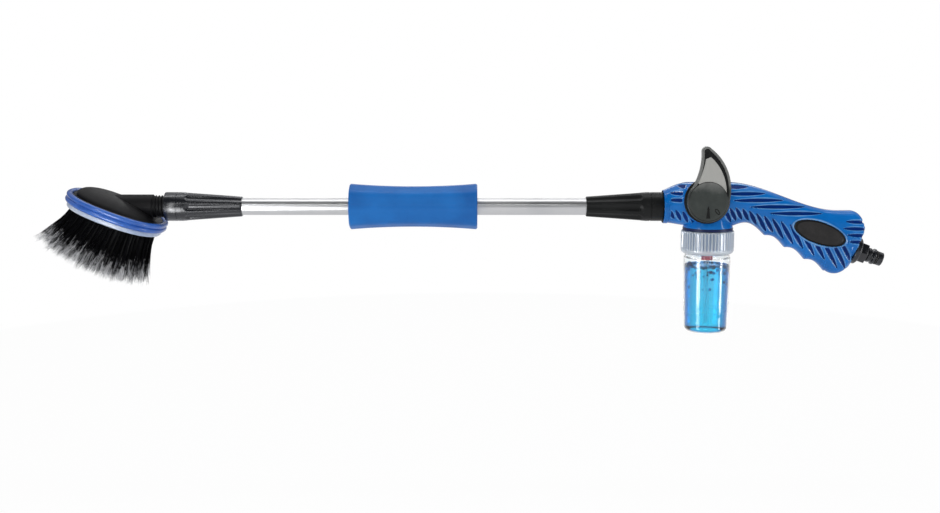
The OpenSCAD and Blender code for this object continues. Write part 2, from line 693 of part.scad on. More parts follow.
module handle_left() placed() color([0.08, 0.30, 0.68]) handle_half(-1);
module handle_right() placed() color([0.08, 0.30, 0.68]) handle_half(1);
module grip_inlay_left() placed() color([0.24, 0.22, 0.21]) grip_inlay(-1);
module grip_inlay_right() placed() color([0.24, 0.22, 0.21]) grip_inlay(1);

module handle_screws() placed() color([0.70, 0.70, 0.72]) for (p = screw_at) {
    rod_y(screw_d / 2, -screw_deep, screw_seat, p);
    rod_y(screw_head_d / 2, screw_seat, screw_seat + 2.4, p);
}

// Valve
module valve_body() placed() color([0.06, 0.10, 0.30]) difference() {
    union() {
        rod_x(spigot_r, handle_spigot_end, plug_at[0]);
        rod_x(barrel_r, nose_x, barrel_end);
        rod_y(chamber_r, -chamber_y, chamber_y, plug_at);
        at_pipe() cylinder(r = pipe_socket_r, h = pipe_socket_end);
        translate([0, 0, -skirt_z]) cylinder(r = check_r + 3, h = skirt_z + lever_z);
        translate([0, 0, -skirt_z]) cylinder(r = skirt_r, h = skirt_z - boss_low);
        translate([0, 0, -boss_low - cut]) cylinder(r = skirt_r - 3.5 - gap, h = cut + 3);
        translate([0, 0, ring_low]) cylinder(r = ring_r, h = ring_h + 0.1);
    }
    translate([0, 0, ring_low - cut]) difference() {
        cylinder(r = ring_r - 4, h = ring_h + cut);
        cylinder(r = check_r + 3, h = ring_h + 2 * cut);
    }
    rod_x(socket_r, handle_spigot_end - cut, tube_stop);
    rod_x(socket_r + oring_t, handle_spigot_end - cut, handle_spigot_end + oring_t + 0.4);
    translate([0, 0, lever_z / 2]) rod_x(flow_d / 2, tube_stop - cut, 0);
    rod_y(plug_r + fit, -chamber_front, chamber_y + cut, plug_at);
    rod_y(spindle_r + fit, -chamber_y - cut, 0, plug_at);
    rod_y(spindle_r + oring_t + fit, -chamber_y - cut, -chamber_y + oring_t + 0.3, plug_at);
    at_pipe() cylinder(r = flow_d / 2, h = pipe_socket_end);
    at_pipe() translate([0, 0, pipe_start]) cylinder(r = pipe_r + fit, h = pipe_socket_end);
    translate([0, 0, ring_low - cut]) cylinder(r = check_r + fit, h = check_top - ring_low + cut);
    translate([0, 0, ring_low]) cylinder(r = 2.5, h = lever_z - ring_low);
}

module valve_cap() placed() color([0.06, 0.10, 0.30]) {
    rod_y(plug_r, plug_back + gap, chamber_y, plug_at);
    rod_y(chamber_r - 2, chamber_y, chamber_y + 1, plug_at);
}

module valve_plug() placed() color([0.85, 0.85, 0.80]) difference() {
    union() {
        rod_y(plug_r, -chamber_front + gap, plug_back, plug_at);
        rod_y(spindle_r, -hub_in - 7, 0, plug_at);
    }
    at_pipe() translate([0, 0, -plug_d]) cylinder(r = flow_d / 2, h = 2 * plug_d);
    translate([plug_at[0], 0, plug_at[1] - plug_d]) cylinder(r = 2, h = plug_d);
    rod_y(1.55, -hub_in - 8, -hub_in + 4, plug_at);
}

module spindle_oring() placed() color([0.05, 0.05, 0.05])
    at_lever(chamber_y - oring_t / 2 - 0.15) oring(spindle_r + fit + oring_t / 2, oring_t - 2 * fit);

module lever_seat() placed() color([0.05, 0.05, 0.06]) difference() {
    rod_y(disc_r + 2, -seat_y - seat_t, -seat_y, plug_at);
    rod_y(hub_r + gap, -seat_y - seat_t - cut, -seat_y + cut, plug_at);
}

// Lever. Its outline is drawn with the turning axis at the middle and the fin up.
function arc_through(a, m, b, n) =
    let(d = 2 * (a[0] * (m[1] - b[1]) + m[0] * (b[1] - a[1]) + b[0] * (a[1] - m[1])),
        cx = ((a * a) * (m[1] - b[1]) + (m * m) * (b[1] - a[1]) + (b * b) * (a[1] - m[1])) / d,
        cy = ((a * a) * (b[0] - m[0]) + (m * m) * (a[0] - b[0]) + (b * b) * (m[0] - a[0])) / d,
        c = [cx, cy], r = norm(a - c), t1 = atan2(a[1] - cy, a[0] - cx), t2 = atan2(b[1] - cy, b[0] - cx))
    [for (k = [0:n]) c + r * [cos(t1 + (t2 - t1) * k / n), sin(t1 + (t2 - t1) * k / n)]];

fin_tip_r = 5.4;
fin_tip = [-2.3, fin_h - fin_tip_r];
fin_front = arc_through([disc_r, 0], [disc_r - 3, fin_h * 0.58],
    [fin_tip[0] + fin_tip_r * 0.8, fin_h - fin_tip_r * 0.4], 10);
fin_back = arc_through([fin_tip[0] - fin_tip_r, fin_tip[1]], [-9.4, fin_h * 0.56],
    [-disc_r * 0.75, disc_r * 0.65], 8);

module fin_outline() {
    polygon(concat([[0, 0]], fin_front, [fin_tip], fin_back));
    translate(fin_tip) circle(r = fin_tip_r);
}

module panel_outline(inset) difference() {
    offset(delta = -inset) polygon(concat([[0, 0]], fin_front, [fin_tip + [0, fin_tip_r * 0.6]], fin_back));
    circle(r = disc_r - 0.4 + inset - fin_rim);
    translate(fin_tip) circle(r = fin_tip_r - fin_rim + inset);
}

module control_lever() placed() color([0.28, 0.29, 0.25]) difference() {
    union() {
        at_lever(lever_in) linear_extrude(lever_t) circle(r = disc_r);
        at_lever(lever_in) linear_extrude(lever_t) fin_outline();
        at_lever(hub_in) cylinder(r = hub_r, h = lever_in - hub_in + cut);
    }
    at_lever(lever_out - panel_t) linear_extrude(panel_t + cut) panel_outline(fin_rim - 0.15);
    at_lever(lever_out - panel_t) translate([fin_tip[0], fin_tip[1], 0]) cylinder(r = 3.2, h = panel_t + cut);
    at_lever(lever_out - cap_t) cylinder(r = cap_r + 0.1, h = cap_t + cut);
    at_lever(hub_in - cut) cylinder(r = spindle_r + fit, h = 7 + cut);
    at_lever(hub_in) cylinder(r = 1.7, h = lever_t + 20);
    at_lever(lever_out - cap_t - 2.4) cylinder(r = 3.6, h = 10);
}

module lever_panel() placed() color([0.50, 0.51, 0.47])
    at_lever(lever_out - panel_t) linear_extrude(panel_t - 0.2) panel_outline(fin_rim);

module lever_tip_plug() placed() color([0.04, 0.04, 0.04])
    at_lever(lever_out - panel_t) translate([fin_tip[0], fin_tip[1], 0]) cylinder(r = 3.1, h = panel_t + 0.3);

module lever_cap() placed() color([0.27, 0.28, 0.25]) at_lever(lever_out - cap_t)
    rotate_extrude() polygon([[0, 0], [cap_r, 0], [cap_r, cap_t - 0.2], [cap_r - 0.8, cap_t + 0.4],
        [0, cap_t + 0.8]]);

module lever_screw() placed() color([0.7, 0.7, 0.72]) {
    at_lever(hub_in - 3) cylinder(r = 1.5, h = lever_out - cap_t - 2.3 - hub_in + 3);
    at_lever(lever_out - cap_t - 2.4) cylinder(r = 3.4, h = 2.2);
}

// Hose inlet
module inlet_pipe() placed() color([0.15, 0.15, 0.16]) difference() {
    union() {
        at_pipe() translate([0, 0, pipe_start + gap]) cylinder(r = pipe_r, h = pipe_end - pipe_start + 2);
        at_inlet() translate([0, 0, -socket_in]) cylinder(r = boss_out, h = socket_in - rear_wall - gap);
    }
    at_pipe() cylinder(r = flow_d / 2, h = pipe_end + socket_in - shank_len + 2);
    at_inlet() translate([0, 0, -shank_len - 0.5]) cylinder(r = shank_r + fit, h = socket_in);
}

nipple_r = nipple_d / 2;
ridge_r = ridge_d / 2;
neck_r = nipple_r - 0.8;
ring_r_out = nipple_r + 0.4;
ring_start = nipple_start + 1.5;
ridge_start = nipple_start + 7;
groove_start = ridge_start + 3.8;
groove_w = 2.4;
groove_r = nipple_r - 1.6;
nipple_oring_t = 1.8;

module inlet_adapter() placed() color([0.07, 0.07, 0.08]) at_inlet() difference() {
    union() {
        translate([0, 0, -shank_len]) cylinder(r = shank_r, h = shank_len + cut);
        rotate_extrude() polygon([[0, 0], [flange_d / 2 - 0.6, 0], [flange_d / 2, 0.6],
            [flange_d / 2, flange_t - 1], [flange_d / 2 - 1, flange_t], [0, flange_t]]);
        translate([0, 0, flange_t - 0.1]) cylinder(d = hex_af / cos(30), h = hex_t + 0.1, $fn = 6);
        rotate_extrude() polygon([[0, nipple_start - 0.1], [neck_r, nipple_start - 0.1], [neck_r, ring_start],
            [ring_r_out, ring_start + 0.5], [ring_r_out, ring_start + 3.5], [neck_r, ring_start + 4],
            [neck_r, ridge_start], [ridge_r, ridge_start + 0.8], [ridge_r, ridge_start + 2.8],
            [nipple_r, groove_start], [groove_r, groove_start],
            [groove_r, groove_start + groove_w], [nipple_r, groove_start + groove_w],
            [nipple_r, inlet_len], [0, inlet_len]]);
    }
    translate([0, 0, -shank_len - cut]) cylinder(r = flow_d / 2, h = shank_len + inlet_len + 2 * cut);
    translate([0, 0, -shank_len - cut]) cylinder(r = shank_r - 2, h = 2 + cut);
}

module nipple_oring() placed() color([0.03, 0.03, 0.03]) at_inlet()
    translate([0, 0, groove_start + groove_w / 2])
        oring(groove_r + fit + nipple_oring_t / 2, nipple_oring_t);

module inlet_filter() placed() color([0.8, 0.8, 0.8])
    at_inlet() translate([0, 0, -shank_len + 0.3]) difference() {
    cylinder(r = shank_r - 2 - fit, h = 1.4);
    for (k = [0:5]) rotate([0, 0, 60 * k]) translate([2.8, 0, -cut]) cylinder(r = 0.8, h = 4);
    translate([0, 0, -cut]) cylinder(r = 0.8, h = 4);
}

// Bottle, collar and check valve
module bottle() placed() color([0.75, 0.90, 0.96, 0.5]) rotate_extrude() {
    base = bottle_low + bottle_wall;
    corner = [bottle_base_r - bottle_corner, bottle_low + bottle_corner];
    inner_corner = bottle_corner - bottle_wall;
    polygon(concat(
        [[mouth_r, mouth_z], [bottle_flange_r, mouth_z], [bottle_flange_r, mouth_z - flange_h],
         [bottle_neck_r, mouth_z - flange_h], [bottle_neck_r, shoulder_z + 1], [bottle_r - 0.8, shoulder_z],
         [bottle_r, shoulder_z - 0.8], [bottle_base_r + 0.9, step_z + 0.6], [bottle_base_r + 0.4, step_z]],
        [for (k = [0:8]) corner + bottle_corner * [cos(90 * k / 8), -sin(90 * k / 8)]],
        [[0, bottle_low], [0, base]],
        [for (k = [8:-1:0]) [corner[0], corner[1]] + inner_corner * [cos(90 * k / 8), -sin(90 * k / 8)]],
        [[bottle_base_r + 0.4 - bottle_wall, step_z], [bottle_r - bottle_wall, shoulder_z - 2.5],
         [mouth_r, shoulder_z]]));
}

module bottle_collar() placed() color([0.85, 0.88, 0.92, 0.6]) difference() {
    intersection() {
        translate([0, 0, collar_low]) linear_extrude(collar_h) polygon([for (i = [0:4 * collar_ribs - 1])
            let(t = 360 * i / (4 * collar_ribs), r = collar_r - (i % 4 < 2 ? 0 : 0.7)) r * [cos(t), sin(t)]]);
        rotate_extrude() polygon([[0, collar_top], [collar_r - 1.5, collar_top], [collar_r, collar_top - 1.5],
            [collar_r, collar_low + 4], [collar_r - 1.2, collar_low + 1.2], [collar_r - 4, collar_low],
            [0, collar_low]]);
    }
    translate([0, 0, lip_top]) cylinder(r = collar_bore, h = collar_h + cut);
    translate([0, 0, collar_low - cut]) cylinder(r = lip_r, h = collar_h);
}

module bottle_gasket() placed() color([0.15, 0.15, 0.15]) translate([0, 0, mouth_z]) difference() {
    cylinder(r = bottle_flange_r - 0.3, h = gasket_t);
    translate([0, 0, -cut]) cylinder(r = mouth_r + 0.3, h = gasket_t + 2 * cut);
}

module check_valve() placed() color([0.80, 0.15, 0.20]) difference() {
    union() {
        translate([0, 0, check_low]) cylinder(r = check_r, h = check_top - check_low - gap);
        translate([0, 0, check_flange_z - check_flange_t]) cylinder(r = check_flange_r, h = check_flange_t);
    }
    translate([0, 0, check_low - cut]) cylinder(r = dip_d / 2 + fit, h = dip_socket + cut);
    translate([0, 0, check_low]) cylinder(r = dip_d / 2 - 0.9, h = check_top - check_low + cut);
    translate([0, 0, ball_seat - 1]) cylinder(r = seat_hole, h = 2);
    translate([0, 0, ball_seat]) cylinder(r = ball_room, h = spring_top - ball_seat + 0.1);
}

module check_ball() placed() color([0.9, 0.9, 0.9]) translate([0, 0, ball_z]) sphere(r = ball_r);

module check_spring() placed() color([0.7, 0.7, 0.7]) translate([0, 0, spring_low]) difference() {
    cylinder(r = ball_room - 0.2, h = spring_top - spring_low);
    translate([0, 0, -cut]) cylinder(r = ball_room - 1, h = spring_top - spring_low + 2 * cut);
}

module dip_tube() placed() color([0.9, 0.92, 0.95]) difference() {
    translate([0, 0, dip_low]) cylinder(r = dip_d / 2, h = check_low + dip_socket - 0.1 - dip_low);
    translate([0, 0, dip_low - cut])
        cylinder(r = dip_d / 2 - 0.9, h = check_low + dip_socket - dip_low + 2 * cut);
}

head_cover();
head_seal();
brush_block();
bumper_ring();
bristle_field();
head_screws();
front_nut();
front_ferrule();
front_oring();
pole_tube();
mid_grip();
rear_nut();
rear_ferrule();
rear_oring();
handle_left();
handle_right();
handle_screws();
grip_inlay_left();
grip_inlay_right();
valve_body();
valve_cap();
valve_plug();
spindle_oring();
lever_seat();
control_lever();
lever_cap();
lever_panel();
lever_tip_plug();
lever_screw();
inlet_pipe();
inlet_adapter();
inlet_filter();
nipple_oring();
bottle();
bottle_collar();
bottle_gasket();
dip_tube();
check_valve();
check_ball();
check_spring();
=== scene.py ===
import math
import random

import bmesh
import bpy
from mathutils import Matrix, Vector


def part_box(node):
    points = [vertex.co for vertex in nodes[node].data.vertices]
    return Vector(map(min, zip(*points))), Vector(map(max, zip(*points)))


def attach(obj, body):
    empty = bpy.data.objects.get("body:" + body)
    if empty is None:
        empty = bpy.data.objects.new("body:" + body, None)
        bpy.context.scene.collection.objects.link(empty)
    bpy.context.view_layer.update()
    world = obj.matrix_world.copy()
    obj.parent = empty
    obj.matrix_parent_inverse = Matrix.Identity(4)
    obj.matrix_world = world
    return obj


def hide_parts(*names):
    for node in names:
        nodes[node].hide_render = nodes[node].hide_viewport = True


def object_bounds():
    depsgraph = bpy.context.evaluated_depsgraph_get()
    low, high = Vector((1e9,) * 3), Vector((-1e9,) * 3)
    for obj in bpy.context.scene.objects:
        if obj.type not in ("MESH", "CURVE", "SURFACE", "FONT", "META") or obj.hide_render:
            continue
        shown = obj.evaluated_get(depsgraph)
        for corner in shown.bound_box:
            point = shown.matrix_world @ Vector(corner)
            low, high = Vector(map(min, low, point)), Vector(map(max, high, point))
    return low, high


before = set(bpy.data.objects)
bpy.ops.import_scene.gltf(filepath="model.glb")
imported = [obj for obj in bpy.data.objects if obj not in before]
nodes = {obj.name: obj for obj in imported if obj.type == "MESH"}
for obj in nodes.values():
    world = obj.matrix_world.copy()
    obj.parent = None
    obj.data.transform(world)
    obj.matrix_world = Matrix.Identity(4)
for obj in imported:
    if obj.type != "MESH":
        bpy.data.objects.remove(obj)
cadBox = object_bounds()
random.seed(11)
mm = 0.001
print("frame loaded with", len(nodes), "nodes")


def middleOf(node):
    low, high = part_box(node)
    return (low + high) / 2


# Sizes below are in millimetres from the crossing of the pole's axis and the bottle's axis
cross = Vector((middleOf("bottle").x, 0, middleOf("pole_tube").z))
toRow = Matrix.Translation(cross) @ Matrix.Scale(mm, 4)


def inMillimetres(node):
    low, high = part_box(node)
    return (low - cross) / mm, (high - cross) / mm


def addObject(name, data):
    made = bpy.data.objects.new(name, data)
    bpy.context.scene.collection.objects.link(made)
    return made


def asMesh(name, shape):
    mesh = bpy.data.meshes.new(name)
    shape.to_mesh(mesh)
    shape.free()
    return mesh


view = {"aim": (-0.43997, 0, 0.0032), "distance": 1.397, "pitch": 8, "lens": 50, "sensor": 36, "near": 0.02}


def makeCamera():
    pitch = math.radians(view["pitch"])
    data = bpy.data.cameras.new("camera")
    data.lens = view["lens"]
    data.sensor_width = view["sensor"]
    data.clip_start = view["near"]
    camera = addObject("camera", data)
    away = Vector((0, -math.cos(pitch), math.sin(pitch))) * view["distance"]
    camera.location = Vector(view["aim"]) + away
    camera.rotation_euler = (math.radians(90) - pitch, 0, 0)
    bpy.context.scene.camera = camera


makeCamera()


class Wire:
    # One socket of a material's tree, with arithmetic on it
    def __init__(self, tree, socket=None):
        self.tree = tree
        self.socket = socket

    def put(self, inputs, sockets):
        for name, value in sockets.items():
            if isinstance(value, Wire):
                self.tree.links.new(value.socket, inputs[name])
            else:
                inputs[name].default_value = value

    def shade(self, sockets):
        # Feeds the material's main shader
        self.put(self.tree.nodes["Principled BSDF"].inputs, sockets)

    def node(self, kind, sockets=None, output=0, stops=(), **settings):
        made = self.tree.nodes.new(kind)
        for name, value in settings.items():
            setattr(made, name, value)
        if stops:
            ramp = made.color_ramp
            while len(ramp.elements) < len(stops):
                ramp.elements.new(0.5)
            for element, (place, level) in zip(ramp.elements, stops):
                element.position = place
                element.color = grey(level)
        self.put(made.inputs, sockets or {})
        return Wire(self.tree, made.outputs[output])

    def maths(self, operation, first, second):
        return self.node("ShaderNodeMath", {0: first, 1: second}, operation=operation)

    def __add__(self, other):
        return self.maths("ADD", self, other)

    def __radd__(self, other):
        return self.maths("ADD", other, self)

    def __sub__(self, other):
        return self.maths("SUBTRACT", self, other)

    def __rsub__(self, other):
        return self.maths("SUBTRACT", other, self)

    def __mul__(self, other):
        return self.maths("MULTIPLY", self, other)

    def __rmul__(self, other):
        return self.maths("MULTIPLY", other, self)

    def between(self, low, high):
        return self.node("ShaderNodeMapRange", {"Value": self, "From Min": low, "From Max": high})

    def mix(self, dark, light):
        # A colour from dark at 0 to light at 1
        return self.node("ShaderNodeMix", {0: self, 6: dark, 7: light}, output=2, data_type="RGBA")

    def noise(self, scale, detail=3.0, rough=0.5):
        sockets = {"Vector": self, "Scale": scale, "Detail": detail, "Roughness": rough}
        return self.node("ShaderNodeTexNoise", sockets)

    def stretched(self, *scale):
        return self.node("ShaderNodeMapping", {"Vector": self, "Scale": scale})

    def bump(self, depth):
        return self.node("ShaderNodeBump", {"Height": self, "Distance": depth, "Strength": 1.0})

    def part(self, axis):
        return self.node("ShaderNodeSeparateXYZ", {0: self}, output=axis)

    def attribute(self, name):
        return self.node("ShaderNodeAttribute", output="Fac", attribute_name=name)

    def ray(self, kind):
        return self.node("ShaderNodeLightPath", output="Is " + kind + " Ray")


def rgb(red, green, blue):
    return (red, green, blue, 1.0)


def grey(level):
    return rgb(level, level, level * 1.02)


materials = {}


def startMaterial(name):
    materials[name] = bpy.data.materials.new(name)
    materials[name].use_nodes = True
    make = Wire(materials[name].node_tree)
    return make, make.node("ShaderNodeTexCoord", output="Object")


# Moulded plastics: dark and light colour, roughness, scale and depth of the skin, coat
plastics = {
    "blackSatin": ((0.005, 0.006, 0.006), (0.011, 0.012, 0.012), 0.4, 900.0, 0.00006, 0.0),
    "blackGloss": ((0.004, 0.005, 0.007), (0.009, 0.01, 0.014), 0.27, 500.0, 0.000002, 0.6),
    "domeSatin": ((0.003, 0.003, 0.004), (0.006, 0.006, 0.007), 0.55, 1100.0, 0.00008, 0.0),
    "sealRubber": ((0.012, 0.012, 0.012), (0.022, 0.022, 0.022), 0.6, 1400.0, 0.00003, 0.0),
    "palePlastic": ((0.36, 0.46, 0.66), (0.68, 0.75, 0.86), 0.35, 700.0, 0.00003, 0.2),
    "blueRubber": ((0.022, 0.1, 0.43), (0.045, 0.165, 0.6), 0.22, 300.0, 0.00003, 0.35),
    "navyPlastic": ((0.006, 0.014, 0.07), (0.01, 0.02, 0.09), 0.42, 500.0, 0.00002, 0.0),
    "whitePlastic": ((0.68, 0.7, 0.7), (0.8, 0.81, 0.8), 0.35, 500.0, 0.00003, 0.1),
    "redPlastic": ((0.5, 0.07, 0.1), (0.68, 0.16, 0.2), 0.25, 400.0, 0.00002, 0.3),
}


def makePlastic(name, dark, light, rough, skin, depth, coat):
    # A colour that varies a little, worn patches in the gloss and a fine skin
    make, place = startMaterial(name)
    cloudy = place.noise(35.0, 4.0).between(0.32, 0.68)
    fine = place.noise(skin, 2.0)
    wearAndLitTop = place.noise(120.0, 5.0, 0.6)
    make.shade({"Base Color": cloudy.mix(rgb(*dark), rgb(*light)), "Roughness": wearAndLitTop * 0.14 + (rough - 0.07),
                "Coat Weight": coat, "Normal": fine.bump(depth)})
    if name in ("blackSatin", "domeSatin", "navyPlastic"):
        make.shade({"Specular IOR Level": 0.25})
    if name == "blackGloss":
        make.shade({"Coat IOR": 1.6, "Coat Roughness": 0.2, "Coat Tint": rgb(0.9, 0.93, 1.0)})


def makeHandleBlue():
    # Glossy royal blue, with painted shade darkening the sunk stripes, a pale painted highlight along their
    # edges and another on the inlay's bead and the rear chamfer
    make, place = startMaterial("handleBlue")
    sunk, edge, beadGlint = [make.attribute(name) for name in ("sunk", "edge", "beadGlint")]
    cloudy = place.noise(28.0, 4.0).between(0.3, 0.7)
    ridge = cloudy.mix(rgb(0.001, 0.15, 0.53), rgb(0.004, 0.2, 0.67))
    # Painted shade: the groove floors take a much darker navy
    floor = cloudy.mix(rgb(0.0, 0.022, 0.15), rgb(0.001, 0.034, 0.23))
    # Painted highlight: pale blue along the groove edges, patchy with noise
    edgeGlint = (place.noise(90.0, 4.0).between(0.35, 0.7) * 0.5 + 0.4) * edge
    pale = edgeGlint.mix(ridge, rgb(0.24, 0.55, 0.92))
    # Painted highlight: pale blue on the bead round the inlay and on the rear chamfer
    pale = beadGlint.mix(pale, rgb(0.2, 0.44, 0.78))
    make.shade({"Base Color": sunk.between(0.25, 0.75).mix(pale, floor),
                "Roughness": place.noise(150.0, 6.0, 0.65) * 0.12 + 0.1,
                "Coat Weight": (1 - sunk.between(0.6, 0.9)) * 0.5, "Coat Roughness": 0.06,
                "Specular IOR Level": 0.1, "Normal": place.noise(260.0, 2.0).bump(0.00004)})


def makeGripBlue():
    # Satin sleeve with a soft grain along its length
    make, place = startMaterial("gripBlue")
    cloudy = place.noise(30.0, 4.0).between(0.3, 0.7)
    grain = place.stretched(60.0, 700.0, 700.0).noise(1.0)
    make.shade({"Base Color": cloudy.mix(rgb(0.005, 0.13, 0.47), rgb(0.01, 0.185, 0.6)),
                "Specular IOR Level": 0.3, "Roughness": place.noise(200.0, 4.0) * 0.15 + 0.3,
                "Normal": grain.bump(0.00009)})


def makeTubeMetal():
    # Bright drawn tube: fine lines along it and faint smudges
    make, place = startMaterial("tubeMetal")
    lines = place.stretched(12.0, 900.0, 900.0).noise(1.0, 2.0)
    smudge = place.noise(18.0, 5.0, 0.6).between(0.35, 0.7)
    make.shade({"Base Color": smudge.mix(rgb(0.7, 0.71, 0.72), rgb(0.8, 0.805, 0.81)), "Metallic": 1.0,
                "Roughness": smudge * 0.08 + 0.3, "Normal": lines.bump(0.0000002)})


def makeSteel():
    make, place = startMaterial("steel")
    lines = place.stretched(400.0, 2200.0, 400.0).noise(1.0, 2.0)
    make.shade({"Base Color": lines.mix(rgb(0.5, 0.5, 0.52), rgb(0.68, 0.68, 0.7)), "Metallic": 1.0,
                "Roughness": lines * 0.12 + 0.2, "Normal": lines.bump(0.00002)})


def makeInlayRubber():
    # Matt soft-touch rubber with a pebbled skin
    make, place = startMaterial("inlayRubber")
    pebbles = make.node("ShaderNodeTexVoronoi", {"Vector": place, "Scale": 1500.0}, output="Distance")
    cloudy = place.noise(90.0, 5.0, 0.65).between(0.3, 0.7)
    make.shade({"Base Color": cloudy.mix(rgb(0.02, 0.019, 0.019), rgb(0.036, 0.034, 0.034)),
                "Roughness": pebbles * 0.2 + 0.55, "Specular IOR Level": 0.25,
                "Normal": pebbles.bump(0.00012)})


def makeLeverOlive(name, dark, light, top, rough, grain):
    # Dark on the disc and greyer up the fin: painted light, lighter towards its top
    make, place = startMaterial(name)
    cloudy = place.noise(70.0, 5.0, 0.6).between(0.3, 0.7)
    fine = place.noise(grain, 3.0, 0.6)
    # Painted light: lighter above a set height
    wearAndLitTop = (place.part("Z") + cloudy * 0.006 - 0.003).between(0.075, 0.085)
    disc = cloudy.mix(rgb(*dark), rgb(*light))
    make.shade({"Base Color": wearAndLitTop.mix(disc, rgb(*top)), "Roughness": fine * 0.16 + rough,
                "Normal": fine.bump(0.00006)})


for name, look in plastics.items():
    makePlastic(name, *look)
makeHandleBlue()
makeGripBlue()
makeTubeMetal()
makeSteel()
makeInlayRubber()
# The third colour of each is the painted light towards the fin's top
makeLeverOlive("leverOlive", (0.026, 0.033, 0.03), (0.05, 0.06, 0.054), (0.21, 0.215, 0.205), 0.24, 420.0)
makeLeverOlive("leverGrey", (0.4, 0.4, 0.37), (0.5, 0.495, 0.46), (0.5, 0.5, 0.47), 0.34, 900.0)
print("opaque finishes made:", len(materials))


def makeClear(name, tint, rough, ior, skin, clear=1.0, coat=0.0):
    # Clear moulded plastic or a clear liquid, with slow waves in its skin
    make, place = startMaterial(name)
    wave = place.noise(skin)
    cloudy = place.noise(40.0).between(0.3, 0.7)
    pale = tuple(0.93 * part + 0.07 for part in tint)
    colour = cloudy.mix(rgb(*tint), rgb(*pale))
    if name == "collarClear":
        # Painted shade: darker blue-grey in the valleys between the ribs
        colour = make.attribute("valleyShade").mix(colour, rgb(0.36, 0.47, 0.64))
    if name == "soapBlue":
        # Painted light: lighter turquoise towards the bottom
        colour = place.part("Z").between(-0.03, -0.065).mix(colour, rgb(0.01, 0.55, 0.85))
        # Painted shade: deep blue towards the soap's edges, where its surface turns away from view
        facing = make.node("ShaderNodeLayerWeight", {"Blend": 0.5}, output="Facing")
        colour = facing.between(0.08, 0.5).mix(colour, rgb(0.001, 0.14, 0.44))
    make.shade({"Base Color": colour, "Roughness": cloudy * 0.03 + rough, "Transmission Weight": clear,
                "Coat Weight": coat, "Coat IOR": 1.6, "IOR": ior, "Normal": wave.bump(0.0001)})


def makeBristle():
    # Near black at the root; the split ends turn pale
    make, place = startMaterial("bristleFibre")
    tip = make.attribute("tip")
    spread = place.noise(260.0).between(0.35, 0.65)
    bare = (tip + spread * 0.24 - 0.12).between(0.82, 1.0)
    make.shade({"Base Color": bare.mix(rgb(0.002, 0.002, 0.003), rgb(0.93, 0.94, 0.96)),
                "Roughness": spread * 0.15 + 0.35, "Alpha": 1 - bare * 0.55, "Specular IOR Level": 0.06})


makeClear("bottleClear", (0.97, 0.99, 0.998), 0.0, 1.1, 55.0, coat=0.6)
makeClear("dipClear", (0.93, 0.97, 0.99), 0.05, 1.1, 55.0, 0.9)
makeClear("collarClear", (0.86, 0.93, 1.0), 0.06, 1.35, 80.0, 0.5, 1.0)
makeClear("soapBlue", (0.02, 0.49, 0.79), 0.0, 1.12, 30.0)
makeClear("soapHole", (0.97, 0.99, 1.0), 0.0, 1.12, 30.0)
makeClear("bubbleBlue", (0.0, 0.34, 0.52), 0.0, 1.04, 200.0)
makeBristle()

# The sky seen in reflections, as (height, grey level) stops, and the floor's place and size
stage = {"front": ((0.0, 0.7), (0.46, 0.7), (0.53, 0.24), (0.7, 0.22), (0.77, 0.04), (0.95, 0.05),
                   (0.985, 0.7)),
         "back": ((0.0, 0.7), (0.47, 0.7), (0.52, 0.15), (0.75, 0.35), (0.9, 0.75)),
         "below": 0.16, "size": 12}


def makeWorld():
    world = bpy.data.worlds.new("studio")
    bpy.context.scene.world = world
    world.use_nodes = True
    make = Wire(world.node_tree)
    camera = make.ray("Camera")
    through = make.ray("Transmission")
    shine = make.ray("Glossy")
    up = make.node("ShaderNodeTexCoord", output="Generated")
    height = up.part("Z")
    depth = up.part("Y")
    front = make.node("ShaderNodeValToRGB", {0: height * 0.5 + 0.5}, stops=stage["front"])
    back = make.node("ShaderNodeValToRGB", {0: height * 0.5 + 0.5}, stops=stage["back"])
    tent = depth.between(-0.05, 0.15).mix(front, back)
    seen = make.maths("MAXIMUM", camera, through)
    colour = seen.mix(shine.mix(grey(0.5), tent), rgb(1, 1, 1))
    make.put(world.node_tree.nodes["Background"].inputs, {"Color": colour, "Strength": 1.0})


def makeFloor():
    shape = bmesh.new()
    bmesh.ops.create_grid(shape, x_segments=8, y_segments=8, size=stage["size"])
    mesh = asMesh("floor", shape)
    floor = addObject("floor", mesh)
    floor.location.z = cadBox[0][2] - stage["below"]
    make, place = startMaterial("floorWhite")
    away = make.node("ShaderNodeVectorMath", {0: place, 1: (-0.42, 0.1, 0)}, operation="SUBTRACT")
    far = make.node("ShaderNodeVectorMath", {0: away}, output="Value", operation="LENGTH").between(0.3, 1.1)
    glow = make.node("ShaderNodeEmission", {"Color": rgb(1, 1, 1)})
    paint = place.noise(3.0).mix(rgb(0.9, 0.9, 0.9), rgb(0.93, 0.93, 0.93))
    make.shade({"Base Color": paint, "Roughness": 0.8})
    seen = make.maths("MAXIMUM", make.ray("Camera"), make.ray("Transmission"))
    share = seen * make.maths("MAXIMUM", far, 0.96)
    own = Wire(make.tree, make.tree.nodes["Principled BSDF"].outputs[0])
    both = make.node("ShaderNodeMixShader", {0: share, 1: own, 2: glow})
    make.put(make.tree.nodes["Material Output"].inputs, {"Surface": both})
    mesh.materials.append(materials["floorWhite"])
    floor.visible_glossy = False


